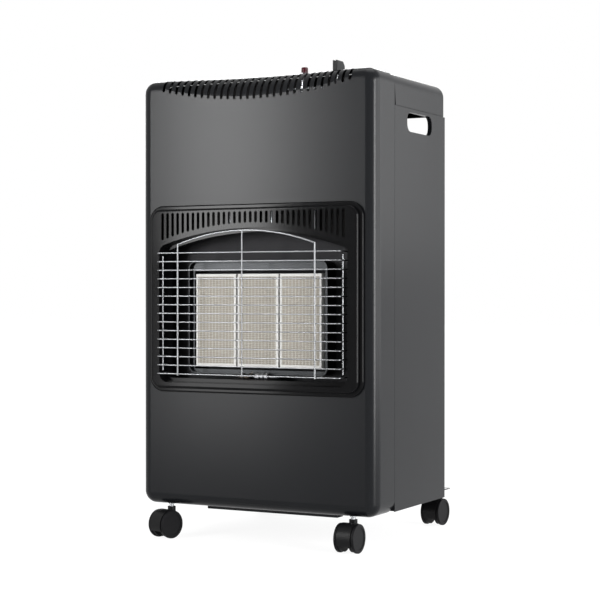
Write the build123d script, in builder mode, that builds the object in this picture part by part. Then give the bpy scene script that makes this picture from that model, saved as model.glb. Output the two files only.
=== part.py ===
from build123d import *
import os
from math import cos, radians, sin, sqrt

os.makedirs("parts", exist_ok=True)

# Portable gas cabinet heater. Millimetres, +Z up, the front faces -Y.
# The origin is on the floor, midway between the guard's foremost wire and the base plate's rear edge.
# Every "depth" below is measured backwards from the face of the front panel.

# ---- driving dimensions: cabinet ----
CABINET_WIDTH = 420.0
CABINET_BOTTOM = 54.5
CABINET_TOP = 738.5
SHEET = 1.2
SEAT_GAP = 0.3
SHELL_DEPTH = 69.0
SHELL_CORNER_RADIUS = 20.0
SHELL_EDGE_RADIUS = 18.0
SHELL_FLANGE = 30.0
SEAM_GAP = 0.6
SIDE_REAR_DEPTH = 270.0
SIDE_RISE = 3.0
SIDE_FLANGE = 18.0
LID_HEIGHT = 50.5
LID_STEP_DOWN = 1.5
LID_SHORTFALL = 3.0
LID_REAR_RADIUS = 4.0
LID_WEDGE = 3.4
HANDLE_LENGTH = 98.0
HANDLE_HEIGHT = 31.0
HANDLE_CORNER = 13.0
HANDLE_DEPTH = 166.0
HANDLE_DROP = 21.5
HANDLE_HEM = 6.0

# ---- driving dimensions: base ----
TRAY_TOP = 61.0
TRAY_THICKNESS = 1.5
TRAY_FRONT_DEPTH = 9.0
TRAY_FRONT_INSET = 16.0
TRAY_REAR_MARGIN = 2.0
TRAY_REAR_INSET = 29.0
TRAY_REAR_CORNER = 6.0
TRAY_LIP_HEIGHT = 14.0
SEAT_SIDE_INSET = 70.0
SEAT_FRONT_ROOM = 10.4
SEAT_REAR_ROOM = 36.0
SEAT_RISE = 1.0
STIFFENER_INSET = 92.0
STIFFENER_DEPTH = 56.0
STIFFENER_RUN = 20.0
STIFFENER_BOTTOM = 44.0

# ---- driving dimensions: rear cover ----
COVER_BOTTOM = 69.0
COVER_HEAD_ROOM = 110.5
COVER_FRONT_INSET = 20.0
COVER_REAR_INSET = 70.0
COVER_REAR_DEPTH = 366.0
COVER_CORNER = 25.0
COVER_FLANGE_INSET = 5.0
COVER_HEM = 10.0
LOUVRE_LENGTH = 58.0
LOUVRE_HEIGHT = 5.0
LOUVRE_PITCH_X = 76.0
LOUVRE_PITCH_Z = 13.0
LOUVRE_ROWS = 6
LOUVRE_COLUMNS = 3
LOUVRE_LOW = 130.0
LOUVRE_HEAD_ROOM = 68.0
THUMBSCREW_INSET = 11.5
THUMBSCREW_FOOT_ROOM = 81.0
THUMBSCREW_HEAD_ROOM = 83.0
THUMBSCREW_HEAD = 11.0
THUMBSCREW_HEAD_LENGTH = 8.0
THUMBSCREW_SHANK = 4.0
THUMBSCREW_REACH = 14.0

# ---- driving dimensions: top grille ----
SCOOP_INSET = 34.0
SCOOP_END_RADIUS = 17.0
SCOOP_CENTRE_RADIUS = 40.0
SCOOP_SECTIONS = 4
SCOOP_CREASE = 0.4
GRILLE_SLOTS = 29
GRILLE_INSET = 43.4
GRILLE_SLOT_WIDTH = 4.8
GRILLE_REAR_DEPTH = 24.0
GRILLE_CENTRE_DROP = 39.0
GRILLE_END_DROP = 19.5

# ---- driving dimensions: window bezel ----
BEZEL_SIDE_INSET = 19.0
BEZEL_BOTTOM = 237.0
BEZEL_TOP = 535.5
BEZEL_CORNER = 24.0
BEZEL_RIM = 5.0
BEZEL_INSET = 6.0
BEZEL_FIELD = 12.0
BEZEL_WALL = 1.5
BEZEL_RIM_ROUND = 2.5
BEZEL_FIELD_ROUND = 4.0
WINDOW_MARGIN = 7.0
OPENING_SIDE_INSET = 23.0
OPENING_BOTTOM = 252.5
OPENING_SPRING = 470.0
OPENING_APEX = 497.5
OPENING_CORNER = 15.0
LEDGE_DEPTH = 3.0
LEDGE_WIDTH = 6.5
DUCT_DEPTH = 28.0
BEZEL_SLOTS = 35
BEZEL_SLOT_INSET = 29.5
BEZEL_SLOT_WIDTH = 5.0
BEZEL_SLOT_TOP = 523.5
BEZEL_SLOT_MARGIN = 8.0

# ---- driving dimensions: wire guard ----
GUARD_WIRE = 2.0
GUARD_ARCH_WIRE = 2.5
GUARD_WELD = 0.3
GUARD_STANDOFF = 28.0
GUARD_SIDE_ROOM = 5.5
GUARD_MIDDLE = -5.0
GUARD_ROWS = 15
GUARD_BOTTOM = 267.3
GUARD_PITCH = 13.7
GUARD_BEND = 5.0
GUARD_TIE_DEPTH = -12.0
GUARD_TIE_MARGIN = 4.5
ARCH_HALF = 122.0
ARCH_SHOULDER = 472.0
ARCH_APEX = 493.0

# ---- driving dimensions: reflector and burners ----
REFLECTOR_DEPTH = 38.0
REFLECTOR_OVERLAP = 13.0
REFLECTOR_CLEARANCE = 0.4
FRAME_SIDE_MARGIN = 10.2
FRAME_FOOT_MARGIN = 11.7
FRAME_HEAD_MARGIN = 20.2
FRAME_CORNER = 12.0
FRAME_LIP_DEPTH = 8.0
FRAME_FACE_DEPTH = 15.0
FRAME_HOLE_MARGIN = 5.0
BURNER_NAMES = ("left", "centre", "right")
BURNER_PITCH = 76.2
BURNER_WIDTH = 72.4
BURNER_BOTTOM = 279.2
BURNER_TOP = 425.8
BURNER_FACE_DEPTH = 11.6
BURNER_REAR_DEPTH = 56.0
PLAQUE_THICKNESS = 12.4
PLAQUE_SIDE_MARGIN = 3.5
PLAQUE_END_MARGIN = 4.5
PLAQUE_CLEARANCE = 0.15
PLAQUE_PROUD = 0.4
BURNER_LIP = 6.0
BURNER_FLANGE = 8.0
MIXING_TUBE = 15.0
MIXING_TUBE_DEPTH = 48.0
MIXING_TUBE_LENGTH = 43.2

# ---- driving dimensions: gas train ----
CONTROL_DEPTH = 47.0
VALVE_INSET = 85.0
VALVE_BODY = (36.0, 32.0, 40.0)
VALVE_ROUND = 4.0
VALVE_DROP = 26.5
VALVE_NECK = 14.0
VALVE_NECK_DROP = 10.5
VALVE_PLUG = 18.0
VALVE_PLUG_LENGTH = 26.0
VALVE_PLUG_ROOF = 5.0
RUNNING_CLEARANCE = 0.05
SPINDLE = 8.0
SPINDLE_SOCKET = 12.0
STOP_ROOM = 2.0
KNOB_TRAVEL = 4.0
KNOB_SKIRT = 30.0
KNOB_SKIRT_HEIGHT = 5.0
KNOB_HEIGHT = 22.2
KNOB_SLOPE = 5.7
KNOB_CREST = 7.4
KNOB_REAR_ROUND = 4.0
KNOB_TAPER = 1.0
KNOB_SINK = 4.5
KNOB_BLADE_LENGTH = 27.0
KNOB_BLADE_WIDTH = 8.0
SHELL_HOLE_ROOM = 2.0
BRACKET_DROP = 24.5
BRACKET_FRONT_DEPTH = 28.0
BRACKET_LEFT_MARGIN = 21.0
BRACKET_RIGHT_MARGIN = 27.0
BRACKET_LEG = 26.0
NUT_THICKNESS = 4.0
NUT_WIDTH = 19.0
NECK_HOLE_ROOM = 0.4
IGNITER_SPACING = 60.0
IGNITER_BODY = 20.0
IGNITER_DROP = 70.5
IGNITER_NECK = 15.0
IGNITER_COLLAR = 2.2
IGNITER_TRAVEL = 6.0
BUTTON = 10.6
BUTTON_RISE = 11.5
BUTTON_LENGTH = 24.0
INLET_DROP = 58.5
INLET_STUB = 10.0
INLET_HEX = 17.0
INLET_HEX_LENGTH = 9.0
INLET_TAIL = 8.6
INLET_TAIL_LENGTH = 30.0
INLET_PLAIN = 12.0
INLET_GROOVE = 0.6
INLET_GROOVES = 3
INLET_GROOVE_PITCH = 5.0
INLET_GROOVE_WIDTH = 2.0
FEED_PIPE = 6.0
FEED_DEPTH = 60.0
FEED_LANE_DROPS = (98.5, 118.5, 138.5)
FEED_OUTLET_PITCH = 11.0
FEED_DROP = 10.0
FEED_BENDS = (12.0, 12.0, 5.8, 5.8)
INJECTOR_GAP = 7.0
INJECTOR_NOSE = 15.0
INJECTOR_BODY = 6.0
INJECTOR_HEX = 11.0
INJECTOR_TIP = 7.0
INJECTOR_BAR_MARGIN = 23.8
INJECTOR_BAR_LEG = 26.0

# ---- driving dimensions: pilot group ----
PILOT_HEIGHT = 264.6
PILOT_DEPTH = 3.0
PILOT_PLATE_LEFT = -31.0
PILOT_PLATE_RIGHT = 30.0
PILOT_TAB_TOP = 270.0
PILOT_TAB_WIDTH = 8.0
PILOT_TAB_ROOM = 1.4
THERMOCOUPLE_TAB_SHIFT = 3.0
PILOT_BURNER = 10.0
PILOT_BURNER_LEFT = 2.0
PILOT_BURNER_RIGHT = 24.0
PILOT_NOTCH_ROOM = 1.0
PILOT_MOUTH = 2.0
PILOT_RINGS = 2
PILOT_RING_PITCH = 7.0
PILOT_RING_WIDTH = 3.0
PILOT_RING_DEPTH = 2.0
PILOT_PIPE = 4.0
PILOT_PIPE_X = 36.0
PILOT_PIPE_OUTLET_OFFSET = 16.0
PILOT_PIPE_OUTLET_DEPTH = 54.6
LEAD_JOG_DROP = 83.5
LEAD_LANE_DEPTH = 65.7
THERMOCOUPLE = 4.0
THERMOCOUPLE_X = -16.0
THERMOCOUPLE_TIP = 0.5
THERMOCOUPLE_LEAD = 2.4
THERMOCOUPLE_DROP_OFFSET = 25.0
THERMOCOUPLE_LANE_DROP = 168.5
THERMOCOUPLE_PORT_DROP = 52.5
THERMOCOUPLE_PORT_DEPTH = 52.0
ELECTRODE_X = -27.0
ELECTRODE_DEPTH = -5.0
ELECTRODE_CERAMIC = 5.0
ELECTRODE_CERAMIC_END = -9.0
ELECTRODE_WIRE = 1.4
ELECTRODE_ELBOW = -6.0
ELECTRODE_RISE = 8.0
ELECTRODE_TIP = 1.0
IGNITION_LEAD = 3.0
LEAD_BEND = 5.0
LEAD_HOLE_ROOM = 1.5

# ---- driving dimensions: fasteners ----
SCREW_HEAD = 8.0
SCREW_HEAD_HEIGHT = 2.4
SCREW_SHANK = 4.0
SCREW_REACH = 8.0
SCREW_INSET = 11.0
SCREW_FOOT_ROOM = 75.5
SCREW_HEAD_ROOM = 108.5
SCREW_ROOM = 0.2

# ---- driving dimensions: casters ----
STEM_INSET = 46.4
FRONT_STEM_DEPTH = 18.6
REAR_STEM_ROOM = 13.0
CASTER_TRAIL = 13.5
WHEEL_RADIUS = 22.5
WHEEL_ROUND = 1.2
WHEEL_DISH = 0.8
WHEEL_DISH_RADIUS = 17.5
TREAD_RADIUS = 21.0
CASTER_WIDTH = 34.0
HOOD_WIDTH = 23.0
HOOD_THICKNESS = 1.8
HOOD_CLEARANCE = 0.5
HOOD_WEB = 13.0
HOOD_SKIRT_HEIGHT = 12.5
HOOD_BOSS = 13.0
HOOD_BOSS_TOP = 49.5
WHEEL_GAP = 0.5
AXLE = 5.0
AXLE_CAP = 3.0
STEM = 7.0
STEM_SINK = 7.5
STEM_SHOULDER = 9.5
STEM_SHOULDER_HEIGHT = 1.2
SOCKET = 13.0
SOCKET_BOTTOM = 55.0
SOCKET_TOP = 67.0
SOCKET_ROOM = 1.5

# ---- derived values ----
HALF_WIDTH = CABINET_WIDTH / 2
INNER_HALF = HALF_WIDTH - SHEET
TRAY_FRONT_HALF = HALF_WIDTH - TRAY_FRONT_INSET
TRAY_REAR_HALF = HALF_WIDTH - TRAY_REAR_INSET
TRAY_REAR_DEPTH = COVER_REAR_DEPTH + TRAY_REAR_MARGIN
STIFFENER_HALF = HALF_WIDTH - STIFFENER_INSET
COVER_TOP = CABINET_TOP - COVER_HEAD_ROOM
LOUVRE_HIGH = COVER_TOP - LOUVRE_HEAD_ROOM
THUMBSCREW_HEIGHTS = (COVER_BOTTOM + THUMBSCREW_FOOT_ROOM, COVER_TOP - THUMBSCREW_HEAD_ROOM)
COVER_FRONT_HALF = HALF_WIDTH - COVER_FRONT_INSET
COVER_REAR_HALF = HALF_WIDTH - COVER_REAR_INSET
COVER_FLANGE_HALF = HALF_WIDTH - COVER_FLANGE_INSET
THUMBSCREW_X = HALF_WIDTH - THUMBSCREW_INSET
SCREW_X = HALF_WIDTH - SCREW_INSET
SCREW_LOW = CABINET_BOTTOM + SCREW_FOOT_ROOM
SCREW_HIGH = CABINET_TOP - SCREW_HEAD_ROOM
SCREW_HEIGHTS = (SCREW_LOW, (SCREW_LOW + SCREW_HIGH) / 2, SCREW_HIGH)
SCOOP_HALF = HALF_WIDTH - SCOOP_INSET
GRILLE_HALF = HALF_WIDTH - GRILLE_INSET
GRILLE_CENTRE_BOTTOM = CABINET_TOP - GRILLE_CENTRE_DROP
GRILLE_END_BOTTOM = CABINET_TOP - GRILLE_END_DROP
BEZEL_HALF = HALF_WIDTH - BEZEL_SIDE_INSET
OPENING_HALF = BEZEL_HALF - OPENING_SIDE_INSET
BEZEL_SLOT_HALF = BEZEL_HALF - BEZEL_SLOT_INSET
GUARD_HALF = OPENING_HALF - GUARD_SIDE_ROOM
FRAME_HALF = BURNER_PITCH * len(BURNER_NAMES) / 2 + FRAME_SIDE_MARGIN
FRAME_BOTTOM = BURNER_BOTTOM - FRAME_FOOT_MARGIN
FRAME_TOP = BURNER_TOP + FRAME_HEAD_MARGIN
GUARD_REACH = GUARD_STANDOFF + GUARD_WIRE / 2 + GUARD_ARCH_WIRE - GUARD_WELD
FRONT_Y = (GUARD_REACH - TRAY_REAR_DEPTH) / 2
REAR_START = SHELL_DEPTH + SEAM_GAP
SEAT_HALF = HALF_WIDTH - SEAT_SIDE_INSET
SEAT_FRONT_DEPTH = REAR_START + SEAT_FRONT_ROOM
SEAT_REAR_DEPTH = COVER_REAR_DEPTH - SEAT_REAR_ROOM
SHIELD_DEPTH = REAR_START - SHEET
TRAY_BOTTOM = TRAY_TOP - TRAY_THICKNESS
SIDE_BOTTOM = CABINET_BOTTOM + SIDE_RISE
LID_TOP = CABINET_TOP - LID_STEP_DOWN
LID_BOTTOM = LID_TOP - LID_HEIGHT
LID_REAR_DEPTH = SIDE_REAR_DEPTH - LID_SHORTFALL
HANDLE_HEIGHT_CENTRE = LID_BOTTOM - HANDLE_DROP
GUARD_TOP = GUARD_BOTTOM + GUARD_PITCH * (GUARD_ROWS - 1)
MIXING_TUBE_MOUTH = BURNER_BOTTOM - MIXING_TUBE_LENGTH
INJECTOR_TOP = MIXING_TUBE_MOUTH - INJECTOR_GAP
INJECTOR_BAR_HEIGHT = INJECTOR_TOP - INJECTOR_NOSE
INJECTOR_BOTTOM = INJECTOR_BAR_HEIGHT - INJECTOR_BODY
INJECTOR_BAR_HALF = BURNER_PITCH + INJECTOR_BAR_MARGIN
FEED_LOW = INJECTOR_BOTTOM - FEED_DROP
VALVE_X = HALF_WIDTH - VALVE_INSET
IGNITER_X = VALVE_X - IGNITER_SPACING
BRACKET_LEFT = IGNITER_X - BRACKET_LEFT_MARGIN
BRACKET_RIGHT = VALVE_X + BRACKET_RIGHT_MARGIN
PILOT_PIPE_DROP_X = VALVE_X + PILOT_PIPE_OUTLET_OFFSET
THERMOCOUPLE_DROP_X = VALVE_X - THERMOCOUPLE_DROP_OFFSET
VALVE_BOTTOM = CABINET_TOP - VALVE_DROP - VALVE_BODY[2]
VALVE_NECK_TOP = CABINET_TOP - VALVE_NECK_DROP
BRACKET_HEIGHT = CABINET_TOP - BRACKET_DROP
IGNITER_BOTTOM = CABINET_TOP - IGNITER_DROP
BUTTON_TOP = CABINET_TOP + BUTTON_RISE
INLET_HEIGHT = CABINET_TOP - INLET_DROP
LEAD_JOG = CABINET_TOP - LEAD_JOG_DROP
THERMOCOUPLE_LANE_HEIGHT = CABINET_TOP - THERMOCOUPLE_LANE_DROP
THERMOCOUPLE_PORT_HEIGHT = CABINET_TOP - THERMOCOUPLE_PORT_DROP
KNOB_BOTTOM = CABINET_TOP - KNOB_SINK
STEM_X = HALF_WIDTH - STEM_INSET
REAR_STEM_DEPTH = TRAY_REAR_DEPTH - REAR_STEM_ROOM
CASTER_HEADINGS = (("front_left", -1, FRONT_STEM_DEPTH, -15.0), ("front_right", 1, FRONT_STEM_DEPTH, 0.0),
                   ("rear_left", -1, REAR_STEM_DEPTH, 9.0), ("rear_right", 1, REAR_STEM_DEPTH, -3.0))
STEM_TOP = SOCKET_TOP - 1
SHOULDER_TOP = SOCKET_BOTTOM - SEAT_GAP


def depth_plane(depth):
    """The plane parallel to the front panel at a depth behind it. It faces forwards, with Z upwards."""
    return Plane.XZ.offset(-(FRONT_Y + depth))


def block(x, depth, z, mode=Mode.ADD):
    """Adds a box between two corners, given as (low, high) pairs, to the piece that is being built."""
    with Locations((sum(x) / 2, FRONT_Y + sum(depth) / 2, sum(z) / 2)):
        Box(abs(x[1] - x[0]), abs(depth[1] - depth[0]), abs(z[1] - z[0]), mode=mode)


def post(x, depth, z, diameter, mode=Mode.ADD):
    """Adds an upright cylinder between the heights z = (low, high)."""
    with Locations((x, FRONT_Y + depth, sum(z) / 2)):
        Cylinder(diameter / 2, z[1] - z[0], mode=mode)


def bar(x, depth, z, diameter, mode=Mode.ADD):
    """Adds a cylinder that runs from front to back between depth = (low, high)."""
    with Locations((x, FRONT_Y + sum(depth) / 2, z)):
        Cylinder(diameter / 2, depth[1] - depth[0], rotation=(90, 0, 0), mode=mode)


def rod(x, depth, z, diameter, mode=Mode.ADD):
    """Adds a cylinder that runs from left to right between x = (low, high)."""
    with Locations((sum(x) / 2, FRONT_Y + depth, z)):
        Cylinder(diameter / 2, x[1] - x[0], rotation=(0, 90, 0), mode=mode)


def bent_rod(points, radius, diameter):
    """A round rod along straight runs joined by arcs. Points are (x, depth, z)."""
    with BuildPart() as rod_part:
        with BuildLine() as route:
            FilletPolyline(*[(x, FRONT_Y + depth, z) for x, depth, z in points], radius=radius)
        with BuildSketch(Plane(origin=route.line @ 0, z_dir=route.line % 0)):
            Circle(diameter / 2)
        sweep()
    return rod_part.part


def arch_height(x, half, spring, apex):
    """The height of a circular arch at x, where it spans +-half at the spring and rises to the apex."""
    rise = apex - spring
    radius = (half**2 + rise**2) / (2 * rise)
    return apex - radius + sqrt(radius**2 - x**2)


def arched_outline(grow):
    """The window opening's outline, grown outwards: flat sides and foot, and an arched head."""
    half = OPENING_HALF + grow
    bottom = OPENING_BOTTOM - grow
    spring = OPENING_SPRING + grow
    with BuildSketch() as outline:
        with BuildLine():
            Polyline((-half, spring), (-half, bottom), (half, bottom), (half, spring))
            ThreePointArc((half, spring), (0, OPENING_APEX + grow), (-half, spring))
        make_face()
        fillet(outline.vertices(), OPENING_CORNER + grow)
    return outline.sketch


def rounded_outline(half, bottom, top, corner):
    """A rounded rectangle between two heights, centred on X = 0."""
    with BuildSketch() as outline:
        with Locations((0, (bottom + top) / 2)):
            RectangleRounded(2 * half, top - bottom, corner)
    return outline.sketch


def scoop_cutter(inset):
    """What the pressed scoop takes off the top front edge: a rounding that is widest in the middle."""
    face, roof = FRONT_Y + inset - SCOOP_CREASE, CABINET_TOP - inset + SCOOP_CREASE
    with BuildPart() as cutter:
        for number in range(-SCOOP_SECTIONS, SCOOP_SECTIONS + 1):
            share = number / SCOOP_SECTIONS
            radius = SCOOP_CENTRE_RADIUS - (SCOOP_CENTRE_RADIUS - SCOOP_END_RADIUS) * share**2 - inset
            with BuildSketch(Plane.YZ.offset(share * SCOOP_HALF)):
                with BuildLine():
                    RadiusArc((face, roof - radius), (face + radius, roof), radius)
                    Polyline((face + radius, roof), (face + radius, roof + 2 * SHEET),
                             (face - 2 * SHEET, roof + 2 * SHEET), (face - 2 * SHEET, roof - radius),
                             (face, roof - radius))
                make_face()
        loft()
    return cutter.part


def shell_solid(inset):
    """The front shell's outer form, drawn in by inset on every face but the open back."""
    with BuildPart() as solid:
        with BuildSketch(depth_plane(SHELL_DEPTH)):
            add(rounded_outline(HALF_WIDTH - inset, CABINET_BOTTOM + inset, CABINET_TOP - inset,
                                SHELL_CORNER_RADIUS - inset))
        extrude(amount=SHELL_DEPTH - inset)
        fillet(solid.faces().sort_by(Axis.Y)[0].edges(), SHELL_EDGE_RADIUS - inset)
        add(scoop_cutter(inset), mode=Mode.SUBTRACT)
    return solid.part


# ---- front shell: one deep-drawn sheet with the window, the top grille and the control holes ----
with BuildPart() as front_shell:
    add(shell_solid(0))
    add(shell_solid(SHEET), mode=Mode.SUBTRACT)
    with BuildSketch(depth_plane(SHEET + 1)):
        add(rounded_outline(OPENING_HALF + WINDOW_MARGIN, OPENING_BOTTOM - WINDOW_MARGIN,
                            BEZEL_TOP - BEZEL_INSET, BEZEL_CORNER - WINDOW_MARGIN))
    extrude(amount=SHEET + 2, mode=Mode.SUBTRACT)
    with BuildSketch(depth_plane(GRILLE_REAR_DEPTH)):
        for number in range(GRILLE_SLOTS):
            slot_x = (2 * number / (GRILLE_SLOTS - 1) - 1) * GRILLE_HALF
            sag = (GRILLE_END_BOTTOM - GRILLE_CENTRE_BOTTOM) * (1 - (slot_x / GRILLE_HALF) ** 2)
            slot_bottom = GRILLE_END_BOTTOM - sag
            slot_top = CABINET_TOP + 2 * GRILLE_SLOT_WIDTH
            with Locations((slot_x, (slot_bottom + slot_top) / 2)):
                SlotOverall(slot_top - slot_bottom, GRILLE_SLOT_WIDTH, rotation=90)
    extrude(amount=GRILLE_REAR_DEPTH + 1, mode=Mode.SUBTRACT)
    block((-(INNER_HALF - SHELL_CORNER_RADIUS), INNER_HALF - SHELL_CORNER_RADIUS),
          (SHELL_FLANGE, SHELL_DEPTH + 1), (CABINET_BOTTOM - 1, CABINET_BOTTOM + SHEET), mode=Mode.SUBTRACT)
    for side in (-1, 1):
        post(side * STEM_X, FRONT_STEM_DEPTH, (CABINET_BOTTOM - 1, CABINET_BOTTOM + SHEET + 1),
             SOCKET + 2 * SOCKET_ROOM, mode=Mode.SUBTRACT)
    post(VALVE_X, CONTROL_DEPTH, (CABINET_TOP - SHEET - 1, CABINET_TOP + 1),
         KNOB_SKIRT + SHELL_HOLE_ROOM, mode=Mode.SUBTRACT)
    post(IGNITER_X, CONTROL_DEPTH, (CABINET_TOP - SHEET - 1, CABINET_TOP + 1),
         IGNITER_NECK + NECK_HOLE_ROOM, mode=Mode.SUBTRACT)
front_shell.part.label = "front_shell"
export_step(front_shell.part, "parts/front_shell.step")

# ---- side panels: flat sheets with returned edges and a hemmed handle slot ----
for side_name, side in (("left", -1), ("right", 1)):
    with BuildPart() as side_panel:
        outer = side * HALF_WIDTH
        inner = side * INNER_HALF
        block((inner, outer), (REAR_START, SIDE_REAR_DEPTH), (SIDE_BOTTOM, LID_BOTTOM - SHEET))
        block((side * (HALF_WIDTH - SIDE_FLANGE), inner), (REAR_START, REAR_START + SHEET),
              (TRAY_TOP, LID_BOTTOM))
        block((side * (HALF_WIDTH - SIDE_FLANGE), inner), (SIDE_REAR_DEPTH - SHEET, SIDE_REAR_DEPTH),
              (TRAY_TOP, LID_BOTTOM - SHEET))
        block((side * (HALF_WIDTH - SIDE_FLANGE), inner),
              (REAR_START + SHEET, SIDE_REAR_DEPTH - SHEET), (TRAY_BOTTOM - SHEET, TRAY_BOTTOM))
        block((side * (HALF_WIDTH - SIDE_FLANGE), inner),
              (REAR_START + SHEET, LID_REAR_DEPTH - SHEET), (LID_BOTTOM - 2 * SHEET, LID_BOTTOM))
        slot_plane = Plane(origin=(inner, FRONT_Y + HANDLE_DEPTH, HANDLE_HEIGHT_CENTRE),
                           x_dir=(0, 1, 0), z_dir=(side, 0, 0))
        with BuildSketch(slot_plane):
            RectangleRounded(HANDLE_LENGTH + 2 * SHEET, HANDLE_HEIGHT + 2 * SHEET, HANDLE_CORNER + SHEET)
        extrude(amount=-HANDLE_HEM)
        with BuildSketch(slot_plane):
            RectangleRounded(HANDLE_LENGTH, HANDLE_HEIGHT, HANDLE_CORNER)
        extrude(amount=2 * HANDLE_HEM, both=True, mode=Mode.SUBTRACT)
        for height in THUMBSCREW_HEIGHTS:
            bar(side * THUMBSCREW_X, (SIDE_REAR_DEPTH - 2 * SHEET, SIDE_REAR_DEPTH + 1), height,
                THUMBSCREW_SHANK + 1, mode=Mode.SUBTRACT)
        for height in SCREW_HEIGHTS:
            bar(side * SCREW_X, (REAR_START - 1, REAR_START + 2 * SHEET), height,
                SCREW_SHANK + 2 * SCREW_ROOM, mode=Mode.SUBTRACT)
    side_panel.part.label = f"{side_name}_side_panel"
    export_step(side_panel.part, f"parts/{side_name}_side_panel.step")


def lid_solid(inset, foot):
    """The rear lid's outer form, drawn in by inset at its top, sides and rear, down to the height foot."""
    with BuildPart() as solid:
        with BuildSketch(depth_plane(LID_REAR_DEPTH - inset)) as section:
            with Locations((0, (LID_TOP - inset + foot) / 2)):
                Rectangle(2 * (HALF_WIDTH - inset), LID_TOP - inset - foot)
            fillet(section.vertices().group_by(Axis.Y)[-1], SHELL_CORNER_RADIUS - inset)
        extrude(amount=LID_REAR_DEPTH - inset - REAR_START)
        rear_edges = solid.faces().sort_by(Axis.Y)[-1].edges()
        fillet(rear_edges.sort_by(Axis.Z)[1:], LID_REAR_RADIUS - inset)
    return solid.part


# ---- top lid: a cap over the rear of the cabinet, with a wedge-shaped gap in front of its skirts ----
with BuildPart() as top_lid:
    add(lid_solid(0, LID_BOTTOM))
    add(lid_solid(SHEET, LID_BOTTOM - 1), mode=Mode.SUBTRACT)
    for side in (-1, 1):
        block((side * (HALF_WIDTH - SIDE_FLANGE), side * INNER_HALF),
              (REAR_START + 2 * LID_WEDGE, LID_REAR_DEPTH - LID_REAR_RADIUS),
              (LID_BOTTOM, LID_BOTTOM + SHEET))
    with BuildSketch(Plane.YZ):
        with BuildLine():
            Polyline((FRONT_Y + REAR_START, LID_BOTTOM), (FRONT_Y + REAR_START + LID_WEDGE, LID_BOTTOM),
                     (FRONT_Y + REAR_START, LID_TOP - SHELL_CORNER_RADIUS), close=True)
        make_face()
    extrude(amount=HALF_WIDTH + 1, both=True, mode=Mode.SUBTRACT)
top_lid.part.label = "top_lid"
export_step(top_lid.part, "parts/top_lid.step")

# ---- heat shield: the sheet between the burner chamber and the cylinder bay ----
with BuildPart() as heat_shield:
    with BuildSketch(depth_plane(REAR_START)):
        add(rounded_outline(INNER_HALF - SEAT_GAP, CABINET_BOTTOM + SHEET + SEAT_GAP,
                            CABINET_TOP - SHEET - SEAT_GAP, SHELL_CORNER_RADIUS - SHEET))
    extrude(amount=SHEET)
    block((-HALF_WIDTH, HALF_WIDTH), (SHIELD_DEPTH - 1, REAR_START + 1), (CABINET_BOTTOM, TRAY_TOP),
          mode=Mode.SUBTRACT)
    for side in (-1, 1):
        block((side * (INNER_HALF - SEAT_GAP - SHEET), side * (INNER_HALF - SEAT_GAP)),
              (SHIELD_DEPTH - SIDE_FLANGE, SHIELD_DEPTH),
              (CABINET_BOTTOM + 2 * SHELL_CORNER_RADIUS, CABINET_TOP - 2 * SHELL_CORNER_RADIUS))
        for height in SCREW_HEIGHTS:
            bar(side * SCREW_X, (SHIELD_DEPTH - 1, REAR_START + 1), height,
                SCREW_SHANK + 2 * SCREW_ROOM, mode=Mode.SUBTRACT)
    bar(VALVE_X, (SHIELD_DEPTH - 1, REAR_START + 1), INLET_HEIGHT, INLET_STUB + 2 * SCREW_ROOM,
        mode=Mode.SUBTRACT)
heat_shield.part.label = "heat_shield"
export_step(heat_shield.part, "parts/heat_shield.step")

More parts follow.
